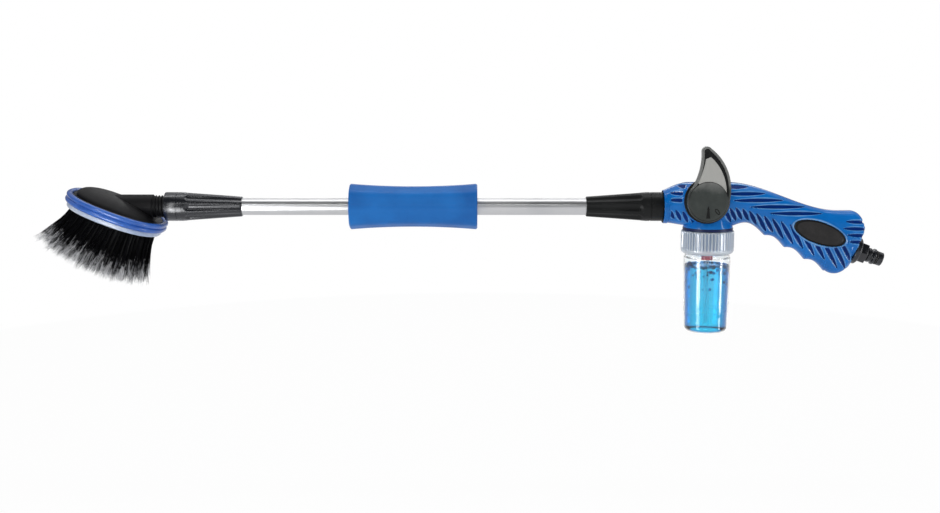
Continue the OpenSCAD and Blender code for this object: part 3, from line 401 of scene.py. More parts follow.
# Each lamp's place, what it faces, its size and its power; the cards show in reflections only
lamps = {
    "overhead": ((-0.45, 0.15, 0.95), (-0.45, 0, 0), (1.7, 0.13), 2.5),
    "front": ((-0.6, -1.15, 0.75), (-0.42, 0, 0), (1.3, 0.05), 1.2),
    "stripLeft": ((-0.99, -0.6, 0.05), (-0.2, 0, 0), (0.07, 0.75), 1.4),
    "stripRight": ((0.72, -0.45, 0.05), (-0.18, 0, 0), (0.07, 0.75), 1.6),
    "behind": ((-0.3, 1.1, 0.6), (-0.4, 0, 0), (1.4, 0.2), 2.0),
    "cardLeft": ((-0.89, -0.56, -0.21), (-0.186, 0, -0.21), (0.3, 0.36), 2.7),
    "cardRight": ((0.65, -0.325, -0.14), (-0.186, 0, -0.14), (0.18, 0.34), 1.6),
}


def makeLamps():
    for name, (place, aim, size, power) in lamps.items():
        data = bpy.data.lights.new(name, "AREA")
        data.shape = "RECTANGLE"
        data.size, data.size_y = size
        data.energy = power
        light = addObject(name, data)
        light.location = place
        toward = Vector(aim) - light.location
        light.rotation_euler = toward.to_track_quat("-Z", "Y").to_euler()
        light.visible_camera = False
        light.visible_diffuse = not name.startswith("card")


makeWorld()
makeFloor()
makeLamps()
bpy.context.scene.view_settings.view_transform = "Standard"
print("stage and lamps set")


def spun(degrees, axis):
    return Matrix.Rotation(math.radians(degrees), 4, axis)


def polar(point):
    return math.hypot(point.x, point.y), math.atan2(point.y, point.x)


def pushTo(vert, radius, wanted):
    # Moves a point from one radius to another, square to the axis
    vert.co.x *= wanted / radius
    vert.co.y *= wanted / radius


def facedOut(shape):
    bmesh.ops.recalc_face_normals(shape, faces=shape.faces[:])
    return shape


def turned(profile, steps=128, dist=0.0008, rise=0.0, turns=1):
    # A profile of (radius, height) points, spun round Z, or wound up it where each turn has a rise
    shape = bmesh.new()
    line = [shape.verts.new((r, 0, z)) for r, z in profile]
    edges = [shape.edges.new(pair) for pair in zip(line, line[1:])]
    wind = {"dvec": (0, 0, rise / steps)} if rise else {"use_merge": True}
    bmesh.ops.spin(shape, geom=line + edges, cent=(0, 0, 0), axis=(0, 0, 1), angle=math.tau * turns,
                   steps=steps * turns, **wind)
    bmesh.ops.remove_doubles(shape, verts=shape.verts[:], dist=dist)
    return facedOut(shape)


def eased(points, radius, steps=3):
    # Rounds each inner corner of a profile
    out = [Vector(points[0])]
    for before, corner, after in zip(points, points[1:], points[2:]):
        corner = Vector(corner)
        back = Vector(before) - corner
        ahead = Vector(after) - corner
        reach = min(radius, back.length * 0.45, ahead.length * 0.45)
        start = corner + back.normalized() * reach
        stop = corner + ahead.normalized() * reach
        for k in range(steps + 1):
            t = k / steps
            out.append(start * (1 - t) ** 2 + corner * 2 * t * (1 - t) + stop * t * t)
    out.append(Vector(points[-1]))
    return out


def blend(start, stop, share):
    return start + (stop - start) * share


def stepped(start, stop, count):
    return [start + (stop - start) * k / count for k in range(count + 1)]


def loftRings(rings):
    # Joins closed rings of points with bridged faces and closes both ends
    shape = bmesh.new()
    loops = []
    for ring in rings:
        line = [shape.verts.new(point) for point in ring]
        loops.append([shape.edges.new((a, b)) for a, b in zip(line, line[1:] + line[:1])])
    for low, high in zip(loops, loops[1:]):
        bmesh.ops.bridge_loops(shape, edges=low + high)
    for end in (loops[0], loops[-1]):
        bmesh.ops.contextual_create(shape, geom=end)
    return facedOut(shape)


def rounded(shape, edges, radius, segments):
    bmesh.ops.bevel(shape, geom=edges, offset=radius, segments=segments, profile=0.5, affect="EDGES",
                    material=-1, clamp_overlap=True)


def addTo(whole, part):
    # Puts a second shape into the first
    mesh = asMesh("part", part)
    whole.from_mesh(mesh)
    bpy.data.meshes.remove(mesh)


def moved(shape, matrix):
    bmesh.ops.transform(shape, matrix=matrix, verts=shape.verts[:])
    return shape


def secondWhere(shape, test=lambda middle: True):
    # The faces whose middle passes the test get the piece's second finish
    for face in shape.faces:
        face.material_index = int(test(face.calc_center_median()))


def landPiece(name, mesh, finish, body, hides="", crease=None, second=None):
    # Makes a mesh a piece that rides on a body, in place of the solid that it hides
    mesh.polygons.foreach_set("use_smooth", [True] * len(mesh.polygons))
    if crease:
        mesh.set_sharp_from_angle(angle=math.radians(crease))
    mesh.materials.append(materials[finish])
    piece = addObject(name, mesh)
    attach(piece, body)
    if hides:
        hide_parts(hides)
    if second:
        mesh.materials.append(materials[second])


def putPiece(name, shape, finish, body, hides="", at=None, crease=38, second=None):
    mesh = asMesh(name, moved(shape, toRow @ (at or Matrix.Identity(4))))
    landPiece(name, mesh, finish, body, hides, crease, second)


def alongX(x, flip=1):
    # Local +Z runs along the pole, towards +X or with flip -1 towards -X
    return Matrix.Translation((x, 0, 0)) @ spun(90 * flip, "Y")


pole = {"radius": 9, "wall": 1.5, "steps": 128}
tubeLow, tubeHigh = inMillimetres("pole_tube")


def makePole():
    r = pole["radius"]
    length = tubeHigh.x - tubeLow.x
    inner = r - pole["wall"]
    wall = [(inner, length / 2), (inner, 0), (r, 0), (r, length), (inner, length), (inner, length / 2)]
    shape = turned(eased(wall, 0.4), pole["steps"])
    putPiece("poleTube", shape, "tubeMetal", "pole", "pole_tube", alongX(tubeLow.x))


nut = {"bore": 12.05, "radius": 15.3, "nose": 10.8, "hole": 9.3, "length": 81.5, "band": 18, "flutes": 8,
       "fluteRadius": 5.2, "fluteDepth": 2.3, "fluteSoft": 0.9, "steps": 320}


def fluteCut(radius, angle, z):
    # The radius left at a point of the nut's skin after the long scoops are cut
    start = nut["band"] + 3.5
    floor = nut["radius"] - nut["fluteDepth"]
    noseFloor = nut["nose"] - 0.8
    middle = floor + (noseFloor - floor) * (z - start) / (nut["length"] - start) + nut["fluteRadius"]
    pitch = math.tau / nut["flutes"]
    off = (angle + pitch / 2) % pitch - pitch / 2
    early = max(0.0, start + nut["fluteRadius"] - z)
    if early >= nut["fluteRadius"]:
        return radius
    wide = math.sqrt(nut["fluteRadius"] ** 2 - early ** 2)
    side = abs(middle * math.sin(off))
    soft = nut["fluteSoft"]
    if side < wide:
        deep = radius - middle * math.cos(off) + math.sqrt(wide * wide - side * side)
    else:
        deep = radius - middle * math.cos(off) - (side - wide) * 2
    if deep < -soft:
        return radius
    return radius - (deep if deep > soft else (deep + soft) ** 2 / (4 * soft))


def makeNut(name, node, at, finish):
    # A band with a fine groove, then a fluted cone down to the nose
    sizes = [nut[key] for key in ("radius", "band", "nose", "length", "bore", "hole")]
    r, band, nose, end, bore, hole = sizes
    cone = [(blend(r, nose, t), blend(band, end - 0.6, t)) for t in stepped(0, 1, 84)]
    groove = [(r, band - 5.2), (r - 0.5, band - 4.9), (r - 0.5, band - 4.1), (r, band - 3.8)]
    skin = [(bore, 6), (bore, 0.3), (bore + 0.3, 0), (r - 0.7, 0), (r - 0.2, 0.2), (r, 0.7)]
    skin += groove + cone + [(nose - 0.6, end), (hole, end), (hole, end - 4)]
    shape = turned(skin, nut["steps"])
    for vert in shape.verts:
        radius, angle = polar(vert.co)
        if vert.co.z > band and radius > nose - 1.2:
            pushTo(vert, radius, fluteCut(radius, angle, vert.co.z))
    putPiece(name, shape, finish, node, node, at, crease=50)


sleeve = {"radius": 24.5, "waist": 6, "lobes": 8, "lobe": 0.8, "steps": 256, "edge": 1.6, "skinFrom": 16}


def makeSleeve():
    low, high = inMillimetres("mid_grip")
    bore = pole["radius"] + 0.06
    length = high.x - low.x
    skin = [(bore, length / 2), (bore, 0.4), (bore + 0.4, 0)]
    for t in stepped(0, 1, 90):
        away = min(t, 1 - t) * length
        drop = 0.0
        if away < sleeve["edge"]:
            drop = sleeve["edge"] - math.sqrt(sleeve["edge"] ** 2 - (sleeve["edge"] - away) ** 2)
        waist = sleeve["waist"] / 2 * math.sin(math.pi * t) ** 0.8
        skin.append((sleeve["radius"] - waist - drop, length * t))
    skin += [(bore + 0.4, length), (bore, length - 0.4), (bore, length / 2)]
    shape = turned(skin, sleeve["steps"])
    for vert in shape.verts:
        radius, angle = polar(vert.co)
        if radius > sleeve["skinFrom"]:
            wave = sleeve["lobe"] / 2 * (math.cos(sleeve["lobes"] * angle) - 1)
            pushTo(vert, radius, radius + wave)
    putPiece("midSleeve", shape, "gripBlue", "pole", "mid_grip", alongX(low.x))


makePole()
makeNut("headNut", "front_nut", alongX(inMillimetres("front_nut")[0].x), "blackGloss")
makeNut("handleNut", "rear_nut", alongX(inMillimetres("rear_nut")[1].x, -1), "blackSatin")
makeSleeve()
print("pole, nuts and sleeve made")


# The brush head is made in its own frame with the rim's middle plane at height 0
head = {"at": (-629.0, 0, -4.2), "tilt": 21, "length": 108, "width": 104, "power": 2.3, "steps": 168,
        "rimHeight": 10.2, "rimWidth": 5.8, "foot": 5, "block": 12.2, "seal": 0.8, "domeHeight": 12.5,
        "domeShift": 9, "domeMargin": 4.5, "domePower": 2.3, "neckRadius": 12.85, "neckEnd": -590.0,
        "neckBack": 20, "spigotRadius": 12.0, "spigotEnd": -548.4, "threadPitch": 3.2, "threadDepth": 1.3,
        "threadTurns": 5}
headAt = Matrix.Translation(head["at"]) @ spun(head["tilt"], "Y")
rimA = head["length"] / 2 - head["rimWidth"] / 2
rimB = head["width"] / 2 - head["rimWidth"] / 2
blockA = rimA - head["rimWidth"] / 2 - 0.3
blockB = rimB - head["rimWidth"] / 2 - 0.3
footA = blockA + head["rimWidth"] / 2 - 0.4
footB = blockB + head["rimWidth"] / 2 - 0.4
footTop = -head["rimHeight"] / 2 - 0.4
blockLow = footTop - head["foot"]
coverLow = blockLow + head["block"] + head["seal"]


def signedPower(value, power):
    return math.copysign(abs(value) ** power, value)


def ovalPoint(a, b, angle):
    turn = 2 / head["power"]
    return a * signedPower(math.cos(angle), turn), b * signedPower(math.sin(angle), turn)


def ovalRing(a, b, z, shift=0.0):
    ring = []
    for k in range(head["steps"]):
        x, y = ovalPoint(a, b, math.tau * k / head["steps"])
        ring.append((x + shift, y, z))
    return ring


def drawnOut(profile, steps, place):
    # A profile of (offset, height), spun on a wide circle whose points are then placed by offset and angle
    wide = 100
    shape = turned([(wide + offset, z) for offset, z in profile], steps)
    for vert in shape.verts:
        radius, angle = polar(vert.co)
        vert.co.x, vert.co.y = place(radius - wide, angle)
    return shape


def ovalTurned(profile, a, b):
    return drawnOut(profile, head["steps"], lambda offset, angle: ovalPoint(a + offset, b + offset, angle))


def makeRim():
    half = head["rimHeight"] / 2
    wide = head["rimWidth"] / 2
    outer = []
    for t in stepped(0, 1, 36):
        z = half * (1 - 2 * t)
        inBead = (abs(z) - half * 0.5) / (half * 0.565)
        outer.append((wide * math.sqrt(max(0.0, 1 - inBead ** 2)), z * 0.995))
    inner = [(-1.2, -half), (-wide + 0.6, -half + 0.3), (-wide, -half + 1.2),
             (-wide, half - 1.2), (-wide + 0.6, half - 0.3), (-1.2, half)]
    shape = ovalTurned(outer + inner + outer[:1], rimA, rimB)
    putPiece("rimBumper", shape, "blueRubber", "brush_head", "bumper_ring", headAt, crease=55)


def makeBlock():
    foot = head["rimWidth"] / 2 - 0.4
    low = blockLow
    high = low + head["block"]
    profile = [(-30, low), (foot - 1.6, low), (foot - 0.5, low + 0.5), (foot, low + 1.4), (foot, footTop),
               (0, footTop), (0, high), (-30, high)]
    shape = ovalTurned(eased(profile, 0.4), blockA, blockB)
    bmesh.ops.holes_fill(shape, edges=[edge for edge in shape.edges if edge.is_boundary])
    putPiece("brushBlock", shape, "palePlastic", "brush_head", "brush_block", headAt)


def makeCover():
    # Domed lid with its neck, then the threaded spigot
    a = blockA - 0.5
    b = blockB - 0.5
    flat = coverLow + 1.8
    lid = ((0, coverLow), (0, flat - 0.4), (0.12, flat - 0.12), (0.4, flat))
    rings = [ovalRing(a - inset, b - inset, z) for inset, z in lid]
    a -= head["domeMargin"]
    b -= head["domeMargin"]
    rings.append(ovalRing(a + 0.6, b + 0.6, flat))
    for t in stepped(0.17, 1, 34):
        s = 0.992 * t
        f = (1 - s ** head["domePower"]) ** (1 / head["domePower"])
        rings.append(ovalRing(a * f, b * f, coverLow + head["domeHeight"] * s, -head["domeShift"] * s))
    shape = moved(loftRings(rings), headAt)
    r = head["neckRadius"]
    start = head["at"][0] - head["neckBack"]
    reach = head["neckEnd"] - start
    inside = head["spigotRadius"] - 0.6
    neck = [(0, 0), (r, 0), (r, reach), (inside, reach), (inside, reach + 1)]
    addTo(shape, moved(turned(eased(neck, 1.1, 5), 96), alongX(start)))
    root = head["spigotRadius"] - head["threadDepth"]
    length = head["spigotEnd"] - head["neckEnd"]
    bore = pole["radius"] + 0.1
    tube = [(root, 0), (root, length), (bore, length), (bore, length - 8)]
    addTo(shape, moved(turned(tube, 96), alongX(head["neckEnd"])))
    addTo(shape, moved(makeThread(root), alongX(head["neckEnd"] - 0.4)))
    putPiece("headCover", shape, "domeSatin", "brush_head", "head_cover", crease=32)


def makeThread(root):
    # One open ridge that winds up the spigot
    crest, pitch = root + head["threadDepth"], head["threadPitch"]
    ridge = [(root - 0.2, 0), (root, pitch * 0.18), (crest, pitch * 0.42), (crest, pitch * 0.58),
             (root, pitch * 0.82), (root - 0.2, pitch)]
    shape = turned(ridge, 72, 0.002, pitch, head["threadTurns"])
    for face in shape.faces:
        middle = face.calc_center_median()
        if face.normal.x * middle.x + face.normal.y * middle.y < 0:
            face.normal_flip()
    return shape


bristle = {"length": 61, "flare": 21, "lean": 7, "skew": 6, "bow": 11, "fold": 4, "folds": 24, "inset": 5,
           "tuftPitch": 5.0, "fibres": 56, "clump": 7, "thick": 0.19, "points": 5, "edge": 0.99,
           "tuftBend": 0.05, "clumpBend": 0.035, "fibreBend": 0.009, "spread": 0.022}


def shareOut(u, v):
    # How far out the root (u, v) lies, 1 on the block's edge
    return (abs(u) ** head["power"] + abs(v) ** head["power"]) ** (1 / head["power"])


def bristlePoint(u, v, t):
    # Where the fibre rooted at the share (u, v) of the block passes the share t of its length
    angle = math.atan2(abs(v) ** (head["power"] / 2), abs(u) ** (head["power"] / 2))
    fold = bristle["fold"] * t * (0.5 - 0.5 * math.cos(bristle["folds"] * angle))
    grow = bristle["flare"] * t ** 1.3 - fold - bristle["inset"]
    deep = bristle["length"] + bristle["skew"] * u - bristle["bow"] * shareOut(u, v) ** 2
    return Vector(((footA + grow) * u - bristle["lean"] * t, (footB + grow) * v, blockLow - 0.3 - deep * t))


def tuftRoots():
    roots = []
    count = int(head["length"] / bristle["tuftPitch"])
    for i in range(-count, count + 1):
        for j in range(-count, count + 1):
            u = (i + 0.5 * (j % 2)) * bristle["tuftPitch"] / (head["length"] / 2 - 7)
            v = j * bristle["tuftPitch"] * 0.87 / (head["width"] / 2 - 7)
            if shareOut(u, v) < bristle["edge"]:
                roots.append((u, v))
    return roots


def fibrePath(u, v, long, bendU, bendV):
    path = []
    for k in range(bristle["points"]):
        t = k / (bristle["points"] - 1) * long
        sway = t * t
        path.append(bristlePoint(u + bendU * sway, v + bendV * sway, t))
    return path


def makeBristles(name, roots, hides=""):
    data = bpy.data.curves.new(name, "CURVE")
    data.dimensions = "3D"
    data.bevel_depth = bristle["thick"]
    data.bevel_resolution = 0
    last = bristle["points"] - 1
    pale = []
    for u, v in roots:
        tuftU = random.uniform(-bristle["tuftBend"], bristle["tuftBend"])
        tuftV = random.uniform(-bristle["tuftBend"], bristle["tuftBend"])
        tuftLong = random.uniform(0.93, 1.0)
        for fibre in range(bristle["fibres"]):
            if fibre % bristle["clump"] == 0:
                clumpU = tuftU + random.gauss(0, bristle["clumpBend"])
                clumpV = tuftV + random.gauss(0, bristle["clumpBend"])
                clumpLong = tuftLong * (1 - 0.35 * random.random() ** 1.3)
                clumpPale = random.uniform(0.76, 1.32)
            su = u + random.uniform(-bristle["spread"], bristle["spread"])
            sv = v + random.uniform(-bristle["spread"], bristle["spread"])
            long = clumpLong * random.uniform(0.93, 1.0)
            bu = clumpU + random.gauss(0, bristle["fibreBend"])
            bv = clumpV + random.gauss(0, bristle["fibreBend"])
            pale.append(clumpPale * random.uniform(0.95, 1.05))
            reach = shareOut(su + bu, sv + bv)
            if reach > bristle["edge"]:
                bu = (su + bu) * bristle["edge"] / reach - su
                bv = (sv + bv) * bristle["edge"] / reach - sv
            path = fibrePath(su, sv, long, bu, bv)
            spline = data.splines.new("POLY")
            spline.points.add(last)
            for k, (point, place) in enumerate(zip(spline.points, path)):
                point.co = (*place, 1)
                point.radius = 1 - 0.72 * (k / last) ** 1.5
    drawn = addObject(name + "Drawn", data)
    bpy.context.view_layer.update()
    mesh = bpy.data.meshes.new_from_object(drawn)
    bpy.data.objects.remove(drawn)
    each = len(mesh.vertices) // len(data.splines)
    around = each // bristle["points"]
    tips = [((k % each) // around) / last * pale[k // each] for k in range(len(mesh.vertices))]
    mesh.attributes.new("tip", "FLOAT", "POINT").data.foreach_set("value", tips)
    mesh.transform(toRow @ headAt)
    mesh.materials.clear()
    landPiece(name, mesh, "bristleFibre", "brush_head", hides)
    print(name, "has", len(data.splines), "fibres and", len(mesh.polygons) * 2, "triangles")


def makeBristleHeart():
    # Dark mass in the middle, so that no light comes through the roots
    edge = [ovalPoint(0.86, 0.86, math.tau * k / 72) for k in range(72)]
    rings = [[bristlePoint(u, v, t) for u, v in edge] for t in stepped(0.0, 0.7, 14)]
    putPiece("bristleHeart", loftRings(rings), "blackSatin", "brush_head", at=headAt)


makeRim()
makeBlock()
makeCover()
makeBristleHeart()
roots = tuftRoots()
random.shuffle(roots)
third = len(roots) // 3 + 1
makeBristles("bristlesA", roots[:third], "bristle_field")
makeBristles("bristlesB", roots[third:2 * third])
makeBristles("bristlesC", roots[2 * third:])
print("brush head made")


# The handle is lofted from the same side outline as the solid
handle = {"nose": -48.7, "noseRadius": 17, "run": 28, "top": 26, "topEnd": -4, "slopeStart": 20,
          "slopeEnd": 138, "belly": 20, "palmX": 26, "palmDeep": 7.6, "fingerX": 60, "fingerZ": -30.5,
          "fingerPitch": 21.6, "fingerFall": 12.9, "fingerDeep": 4.2, "pommel": (135.5, -56),
          "pommelRadius": 15.8, "heelX": 150, "heelRadius": 14, "wide": 24, "gripWide": 16,
          "thinFrom": 12, "thinRun": 55, "power": 2.5, "around": 272, "cell": 0.62, "cutBack": 1.5,
          "chamfer": 1.5, "buttMiddle": (158, 0, -38)}
inlet = {"at": (155.8, 0, -46.0), "tilt": 19.6, "flange": 29, "flangeThick": 6, "hexAcross": 20,
         "hexThick": 8, "nose": 14.6, "ridge": 17, "length": 18.5}
inletAt = Matrix.Translation(inlet["at"]) @ spun(90 + inlet["tilt"], "Y")
# Three of the inlay's sizes place and size the painted highlight on the bead round it
inlay = {"at": (115.6, -26.6), "tilt": 18.8, "length": 57.4, "height": 23, "face": 17.2, "deep": 3.2,
         "clear": 2.1, "clearSoft": 0.9, "beadGlintAt": 1.2, "beadGlintHalf": 0.3, "beadGlintSoft": 0.7, "reach": 2.6,
         "sideFrom": 4}
# The lever's sizes stand here, because the handle's grooves stop at its disc
lever = {"axis": (-6, 8.5), "disc": 22, "tipRadius": 5.4, "finHeight": 57, "tipShift": -2.3, "seat": 24.5,
         "seatThick": 2.5, "gap": 0.3, "thick": 6.7, "rim": 2.3, "sunk": 1.3, "capRadius": 20.6,
         "clear": 24.3, "clearSoft": 2.0}


def smoothStep(t):
    c = min(1.0, max(0.0, t))
    return c * c * (3 - 2 * c)


def backZ(x):
    h = handle
    if x < h["nose"] + h["run"]:
        bow = math.sin(math.pi / 2 * (x - h["nose"]) / h["run"])
        return blend(h["noseRadius"], h["top"], bow)
    if x < h["heelX"]:
        slope = smoothStep((x - h["slopeStart"]) / (h["slopeEnd"] - h["slopeStart"]))
        return blend(h["top"], h["topEnd"], slope)
    return h["topEnd"] - h["heelRadius"] + math.sqrt(max(0.0, h["heelRadius"] ** 2 - (x - h["heelX"]) ** 2))


def underZ(x):
    h = handle
    if x < h["nose"] + h["run"]:
        return -blend(h["noseRadius"], h["belly"], smoothStep((x - h["nose"]) / h["run"]))
    if x < h["palmX"]:
        return -h["belly"]
    if x < h["fingerX"]:
        run = h["fingerX"] - h["palmX"]
        return -h["belly"] + (h["fingerZ"] + h["belly"]) * (x - h["palmX"]) / run
    if x < h["fingerX"] + 3 * h["fingerPitch"]:
        return h["fingerZ"] - h["fingerFall"] * (x - h["fingerX"]) / h["fingerPitch"]
    px, pz = h["pommel"]
    return pz - math.sqrt(max(0.01, h["pommelRadius"] ** 2 - (x - px) ** 2))


def bellyZ(x):
    h = handle
    if x < h["palmX"] or x > h["fingerX"] + 3 * h["fingerPitch"]:
        return underZ(x)
    if x < h["fingerX"]:
        return underZ(x) + h["palmDeep"] * math.sin(math.pi * (x - h["palmX"]) / (h["fingerX"] - h["palmX"]))
    finger = (x - h["fingerX"]) / h["fingerPitch"]
    return underZ(x) + h["fingerDeep"] * math.sin(math.pi * (finger - math.floor(finger)))


def halfWide(x):
    h = handle
    if x < h["nose"] + h["run"]:
        return blend(h["noseRadius"], h["wide"], smoothStep((x - h["nose"]) / h["run"]))
    return blend(h["wide"], h["gripWide"], smoothStep((x - h["thinFrom"]) / h["thinRun"]))


def handleRing(x, side):
    # Half a section, from the bottom seam over one side to the top seam
    high, low, wide = backZ(x), bellyZ(x), halfWide(x)
    middle = (high + underZ(x)) / 2
    power = blend(2, handle["power"], smoothStep((x - handle["nose"]) / handle["run"]))
    ring = []
    half = handle["around"] // 2
    for k in range(half + 1):
        angle = -math.pi / 2 + math.pi * k / half
        reach = high - middle if math.sin(angle) > 0 else middle - low
        across = side * wide * signedPower(math.cos(angle), 2 / power)
        ring.append((x, across, middle + reach * signedPower(math.sin(angle), 2 / power)))
    return ring


# Sunk grooves as seen from the side: rows along the back, at the nose and on the butt
groove = {"sink": 1.25, "pitch": 7.1, "top": 22.8, "rowFrom": (12, 12, 22, 41, 62),
          "rowTo": (39.5, 58.6, 77.7, 100.7, 119), "frontFrom": (-34, -44, -46), "frontTo": -22,
          "rearFrom": (143.5, 140.5, 145, 146), "rearTo": 168, "rearDrop": 37.4,
          "rowHalf": 2.5, "rearHalf": 2.3, "shortHalf": 2.4, "slantHalf": 2.7, "noseClear": 6,
          "seamClear": 2, "soft": 1.2}


def layGrooves():
    # Each groove has its start, its end and half its width
    laid = []
    g = groove
    for k, (start, stop) in enumerate(zip(g["rowFrom"], g["rowTo"])):
        z = g["top"] - g["pitch"] * k
        laid.append((Vector((start, z)), Vector((stop, z - 0.6)), g["rowHalf"]))
    for k, start in enumerate(g["frontFrom"]):
        z = g["top"] - g["pitch"] * k
        laid.append((Vector((start, z)), Vector((g["frontTo"], z)), g["rowHalf"]))
    for k, start in enumerate(g["rearFrom"]):
        z = g["top"] - g["pitch"] * k - g["rearDrop"]
        laid.append((Vector((start, z)), Vector((g["rearTo"], z - 0.8)), g["rearHalf"]))
    for k in range(4):
        stop = Vector((7 * k - 38.3, -12.3 - 1.6 * k))
        laid.append((Vector((7 * k - 44.5, -1 - k)), stop, g["shortHalf"]))
    for k in range(-2, 13):
        x = 25 + 7 * k + 0.2 * k * k
        z = min(1.0, -2 - 0.33 * (x - 38))
        low = bellyZ(x + 12) + 4.5
        laid.append((Vector((x, z)), Vector((x + (z - low) / 1.75, low)), g["slantHalf"]))
    return laid


grooves = layGrooves()


def grooveDepth(x, z):
    # 0 on the ridges and 1 at the floor of a groove, then how near the point is to a groove's edge
    deepest = 0.0
    nearest = 0.0
    here = Vector((x, z))
    for start, stop, half in grooves:
        run = stop - start
        along = (here - start).dot(run) / run.length_squared
        if 0 < along < 1:
            away = (here - start - run * along).length / (half * math.sin(math.pi * along) ** 0.6)
            deepest = max(deepest, 1 - smoothStep((away - 0.5) / 0.5))
            nearest = max(nearest, 1 - smoothStep((away - 0.95) / 0.45))
    return deepest, nearest


def nearDisc(x, z):
    # 0 under the lever's disc and 1 outside it
    away = math.hypot(x - lever["axis"][0], z - lever["axis"][1])
    return smoothStep((away - lever["clear"]) / lever["clearSoft"])


def inlayShare(x, z):
    # 1 on the inlay's edge, less inside it
    turn = math.radians(inlay["tilt"])
    dx, dz = x - inlay["at"][0], z - inlay["at"][1]
    along = dx * math.cos(turn) - dz * math.sin(turn)
    across = dx * math.sin(turn) + dz * math.cos(turn)
    return math.hypot(along / (inlay["length"] / 2), across / (inlay["height"] / 2)), along, across


def inlayGap(x, z):
    # Rough distance in millimetres outside the inlay's edge
    share, along, across = inlayShare(x, z)
    return (share - 1) * math.hypot(along, across) / max(share, 0.01)


def makeHandleHalf(name, side, node):
    h = handle
    far = h["heelX"] + h["heelRadius"] * 0.998
    count = int((far - h["nose"]) / h["cell"])
    shape = bmesh.new()
    grid = []
    for x in stepped(h["nose"], far, count):
        grid.append([shape.verts.new(point) for point in handleRing(x, side)])
    for rows in zip(grid, grid[1:]):
        pairs = [pair for row in rows for pair in zip(row, row[1:])]
        edges = [shape.edges.get(pair) or shape.edges.new(pair) for pair in pairs]
        bmesh.ops.bridge_loops(shape, edges=edges)
    facedOut(shape)
    if sum(face.normal.y * side for face in shape.faces) < 0:
        bmesh.ops.reverse_faces(shape, faces=shape.faces[:])
    shape.normal_update()
    sunkLayer = shape.verts.layers.float.new("sunk")
    edgeGlintLayer = shape.verts.layers.float.new("edge")
    beadGlintLayer = shape.verts.layers.float.new("beadGlint")
    for vert in shape.verts:
        x, y, z = vert.co
        gap = inlayGap(x, z)
        depth, near = grooveDepth(x, z)
        kept = smoothStep((gap - inlay["clear"]) / inlay["clearSoft"])
        kept *= smoothStep((x - h["nose"] - groove["noseClear"]) / groove["soft"])
        kept *= smoothStep((abs(y) - groove["seamClear"]) / groove["soft"])
        if side < 0:
            kept *= nearDisc(x, z)
        depth *= kept
        # The sunk value is the groove's depth; the finish paints shade in the groove floors by it
        vert[sunkLayer] = depth
        # The edge value marks the groove edges, where the finish paints a pale highlight
        vert[edgeGlintLayer] = near * kept * max(0.0, 1 - depth * 2)
        # The next value marks the bead round the inlay for a painted highlight
        beadGlint = 1 - smoothStep((abs(gap - inlay["beadGlintAt"]) - inlay["beadGlintHalf"]) / inlay["beadGlintSoft"])
        vert[beadGlintLayer] = beadGlint if abs(y) > inlay["sideFrom"] else 0.0
        vert.co -= vert.normal * groove["sink"] * depth
        if gap < inlay["reach"] and abs(y) > inlay["sideFrom"]:
            raised = inlay["face"] - 0.1 if gap > 0 else inlay["face"] - inlay["deep"]
            lift = 1 - smoothStep((gap - 1.1) / 1.3) if gap > 0 else 1.0
            vert.co.y += (side * raised - vert.co.y) * lift
    tilt = math.radians(inlet["tilt"])
    outward = Vector((math.cos(tilt), 0, -math.sin(tilt)))
    cutAt = Vector(inlet["at"]) - outward * h["cutBack"]
    geom = shape.verts[:] + shape.edges[:] + shape.faces[:]
    bmesh.ops.bisect_plane(shape, geom=geom, dist=0.0001, plane_co=cutAt, plane_no=outward, clear_outer=True)
    closeHandle(shape, outward, cutAt)
    putPiece(name, shape, "handleBlue", "handle", node, crease=60)


def openEdges(shape, test):
    # Boundary edges with both ends where the test says
    return [edge for edge in shape.edges if edge.is_boundary and all(test(v.co) for v in edge.verts)]


def closeHandle(shape, outward, cutAt):
    # A small chamfer and a flat face on the slanted rear end, then a flat nose
    rim = openEdges(shape, lambda point: abs((point - cutAt).dot(outward)) < 0.01)
    made = bmesh.ops.extrude_edge_only(shape, edges=rim)["geom"]
    newVerts = [item for item in made if isinstance(item, bmesh.types.BMVert)]
    newEdges = [item for item in made if isinstance(item, bmesh.types.BMEdge) and item.is_boundary]
    for vert in newVerts:
        inward = Vector(handle["buttMiddle"]) - vert.co
        inward.y = 0 if abs(vert.co.y) < 0.01 else inward.y
        inward -= outward * inward.dot(outward)
        if inward.length > 0:
            vert.co += inward.normalized() * handle["chamfer"]
        vert.co += outward * handle["chamfer"]
        # The chamfer gets a pale painted highlight
        vert[shape.verts.layers.float["beadGlint"]] = 0.8
    flat = [edge for edge in newEdges if all(v in newVerts for v in edge.verts)]
    bmesh.ops.contextual_create(shape, geom=flat)
    nose = openEdges(shape, lambda point: abs(point.x - handle["nose"]) < 0.01)
    bmesh.ops.contextual_create(shape, geom=nose)


def makeHandleParts():
    # Nose lip, bottle boss, lever boss: one shape of their own in the handle's plastic
    lip = handle["noseRadius"] + 0.9
    ring = [(15.6, 0), (lip - 0.2, 0), (lip, 1.0), (lip, 4.6), (lip - 0.9, 5.9), (15.6, 6.2)]
    shape = moved(turned(eased(ring, 0.6, 4)), alongX(handle["nose"]))
    boss = [(0, -22), (26.2, -22), (26.2, -20.6), (20.6, -2), (0, -2)]
    addTo(shape, turned(eased(boss, 0.6, 4)))
    seat = [(0, 0), (22.5, 0), (22.5, 7), (0, 7)]
    seatAt = Matrix.Translation((lever["axis"][0], -lever["seat"], lever["axis"][1])) @ spun(-90, "X")
    addTo(shape, moved(turned(eased(seat, 0.5)), seatAt))
    putPiece("handleBosses", shape, "handleBlue", "handle")


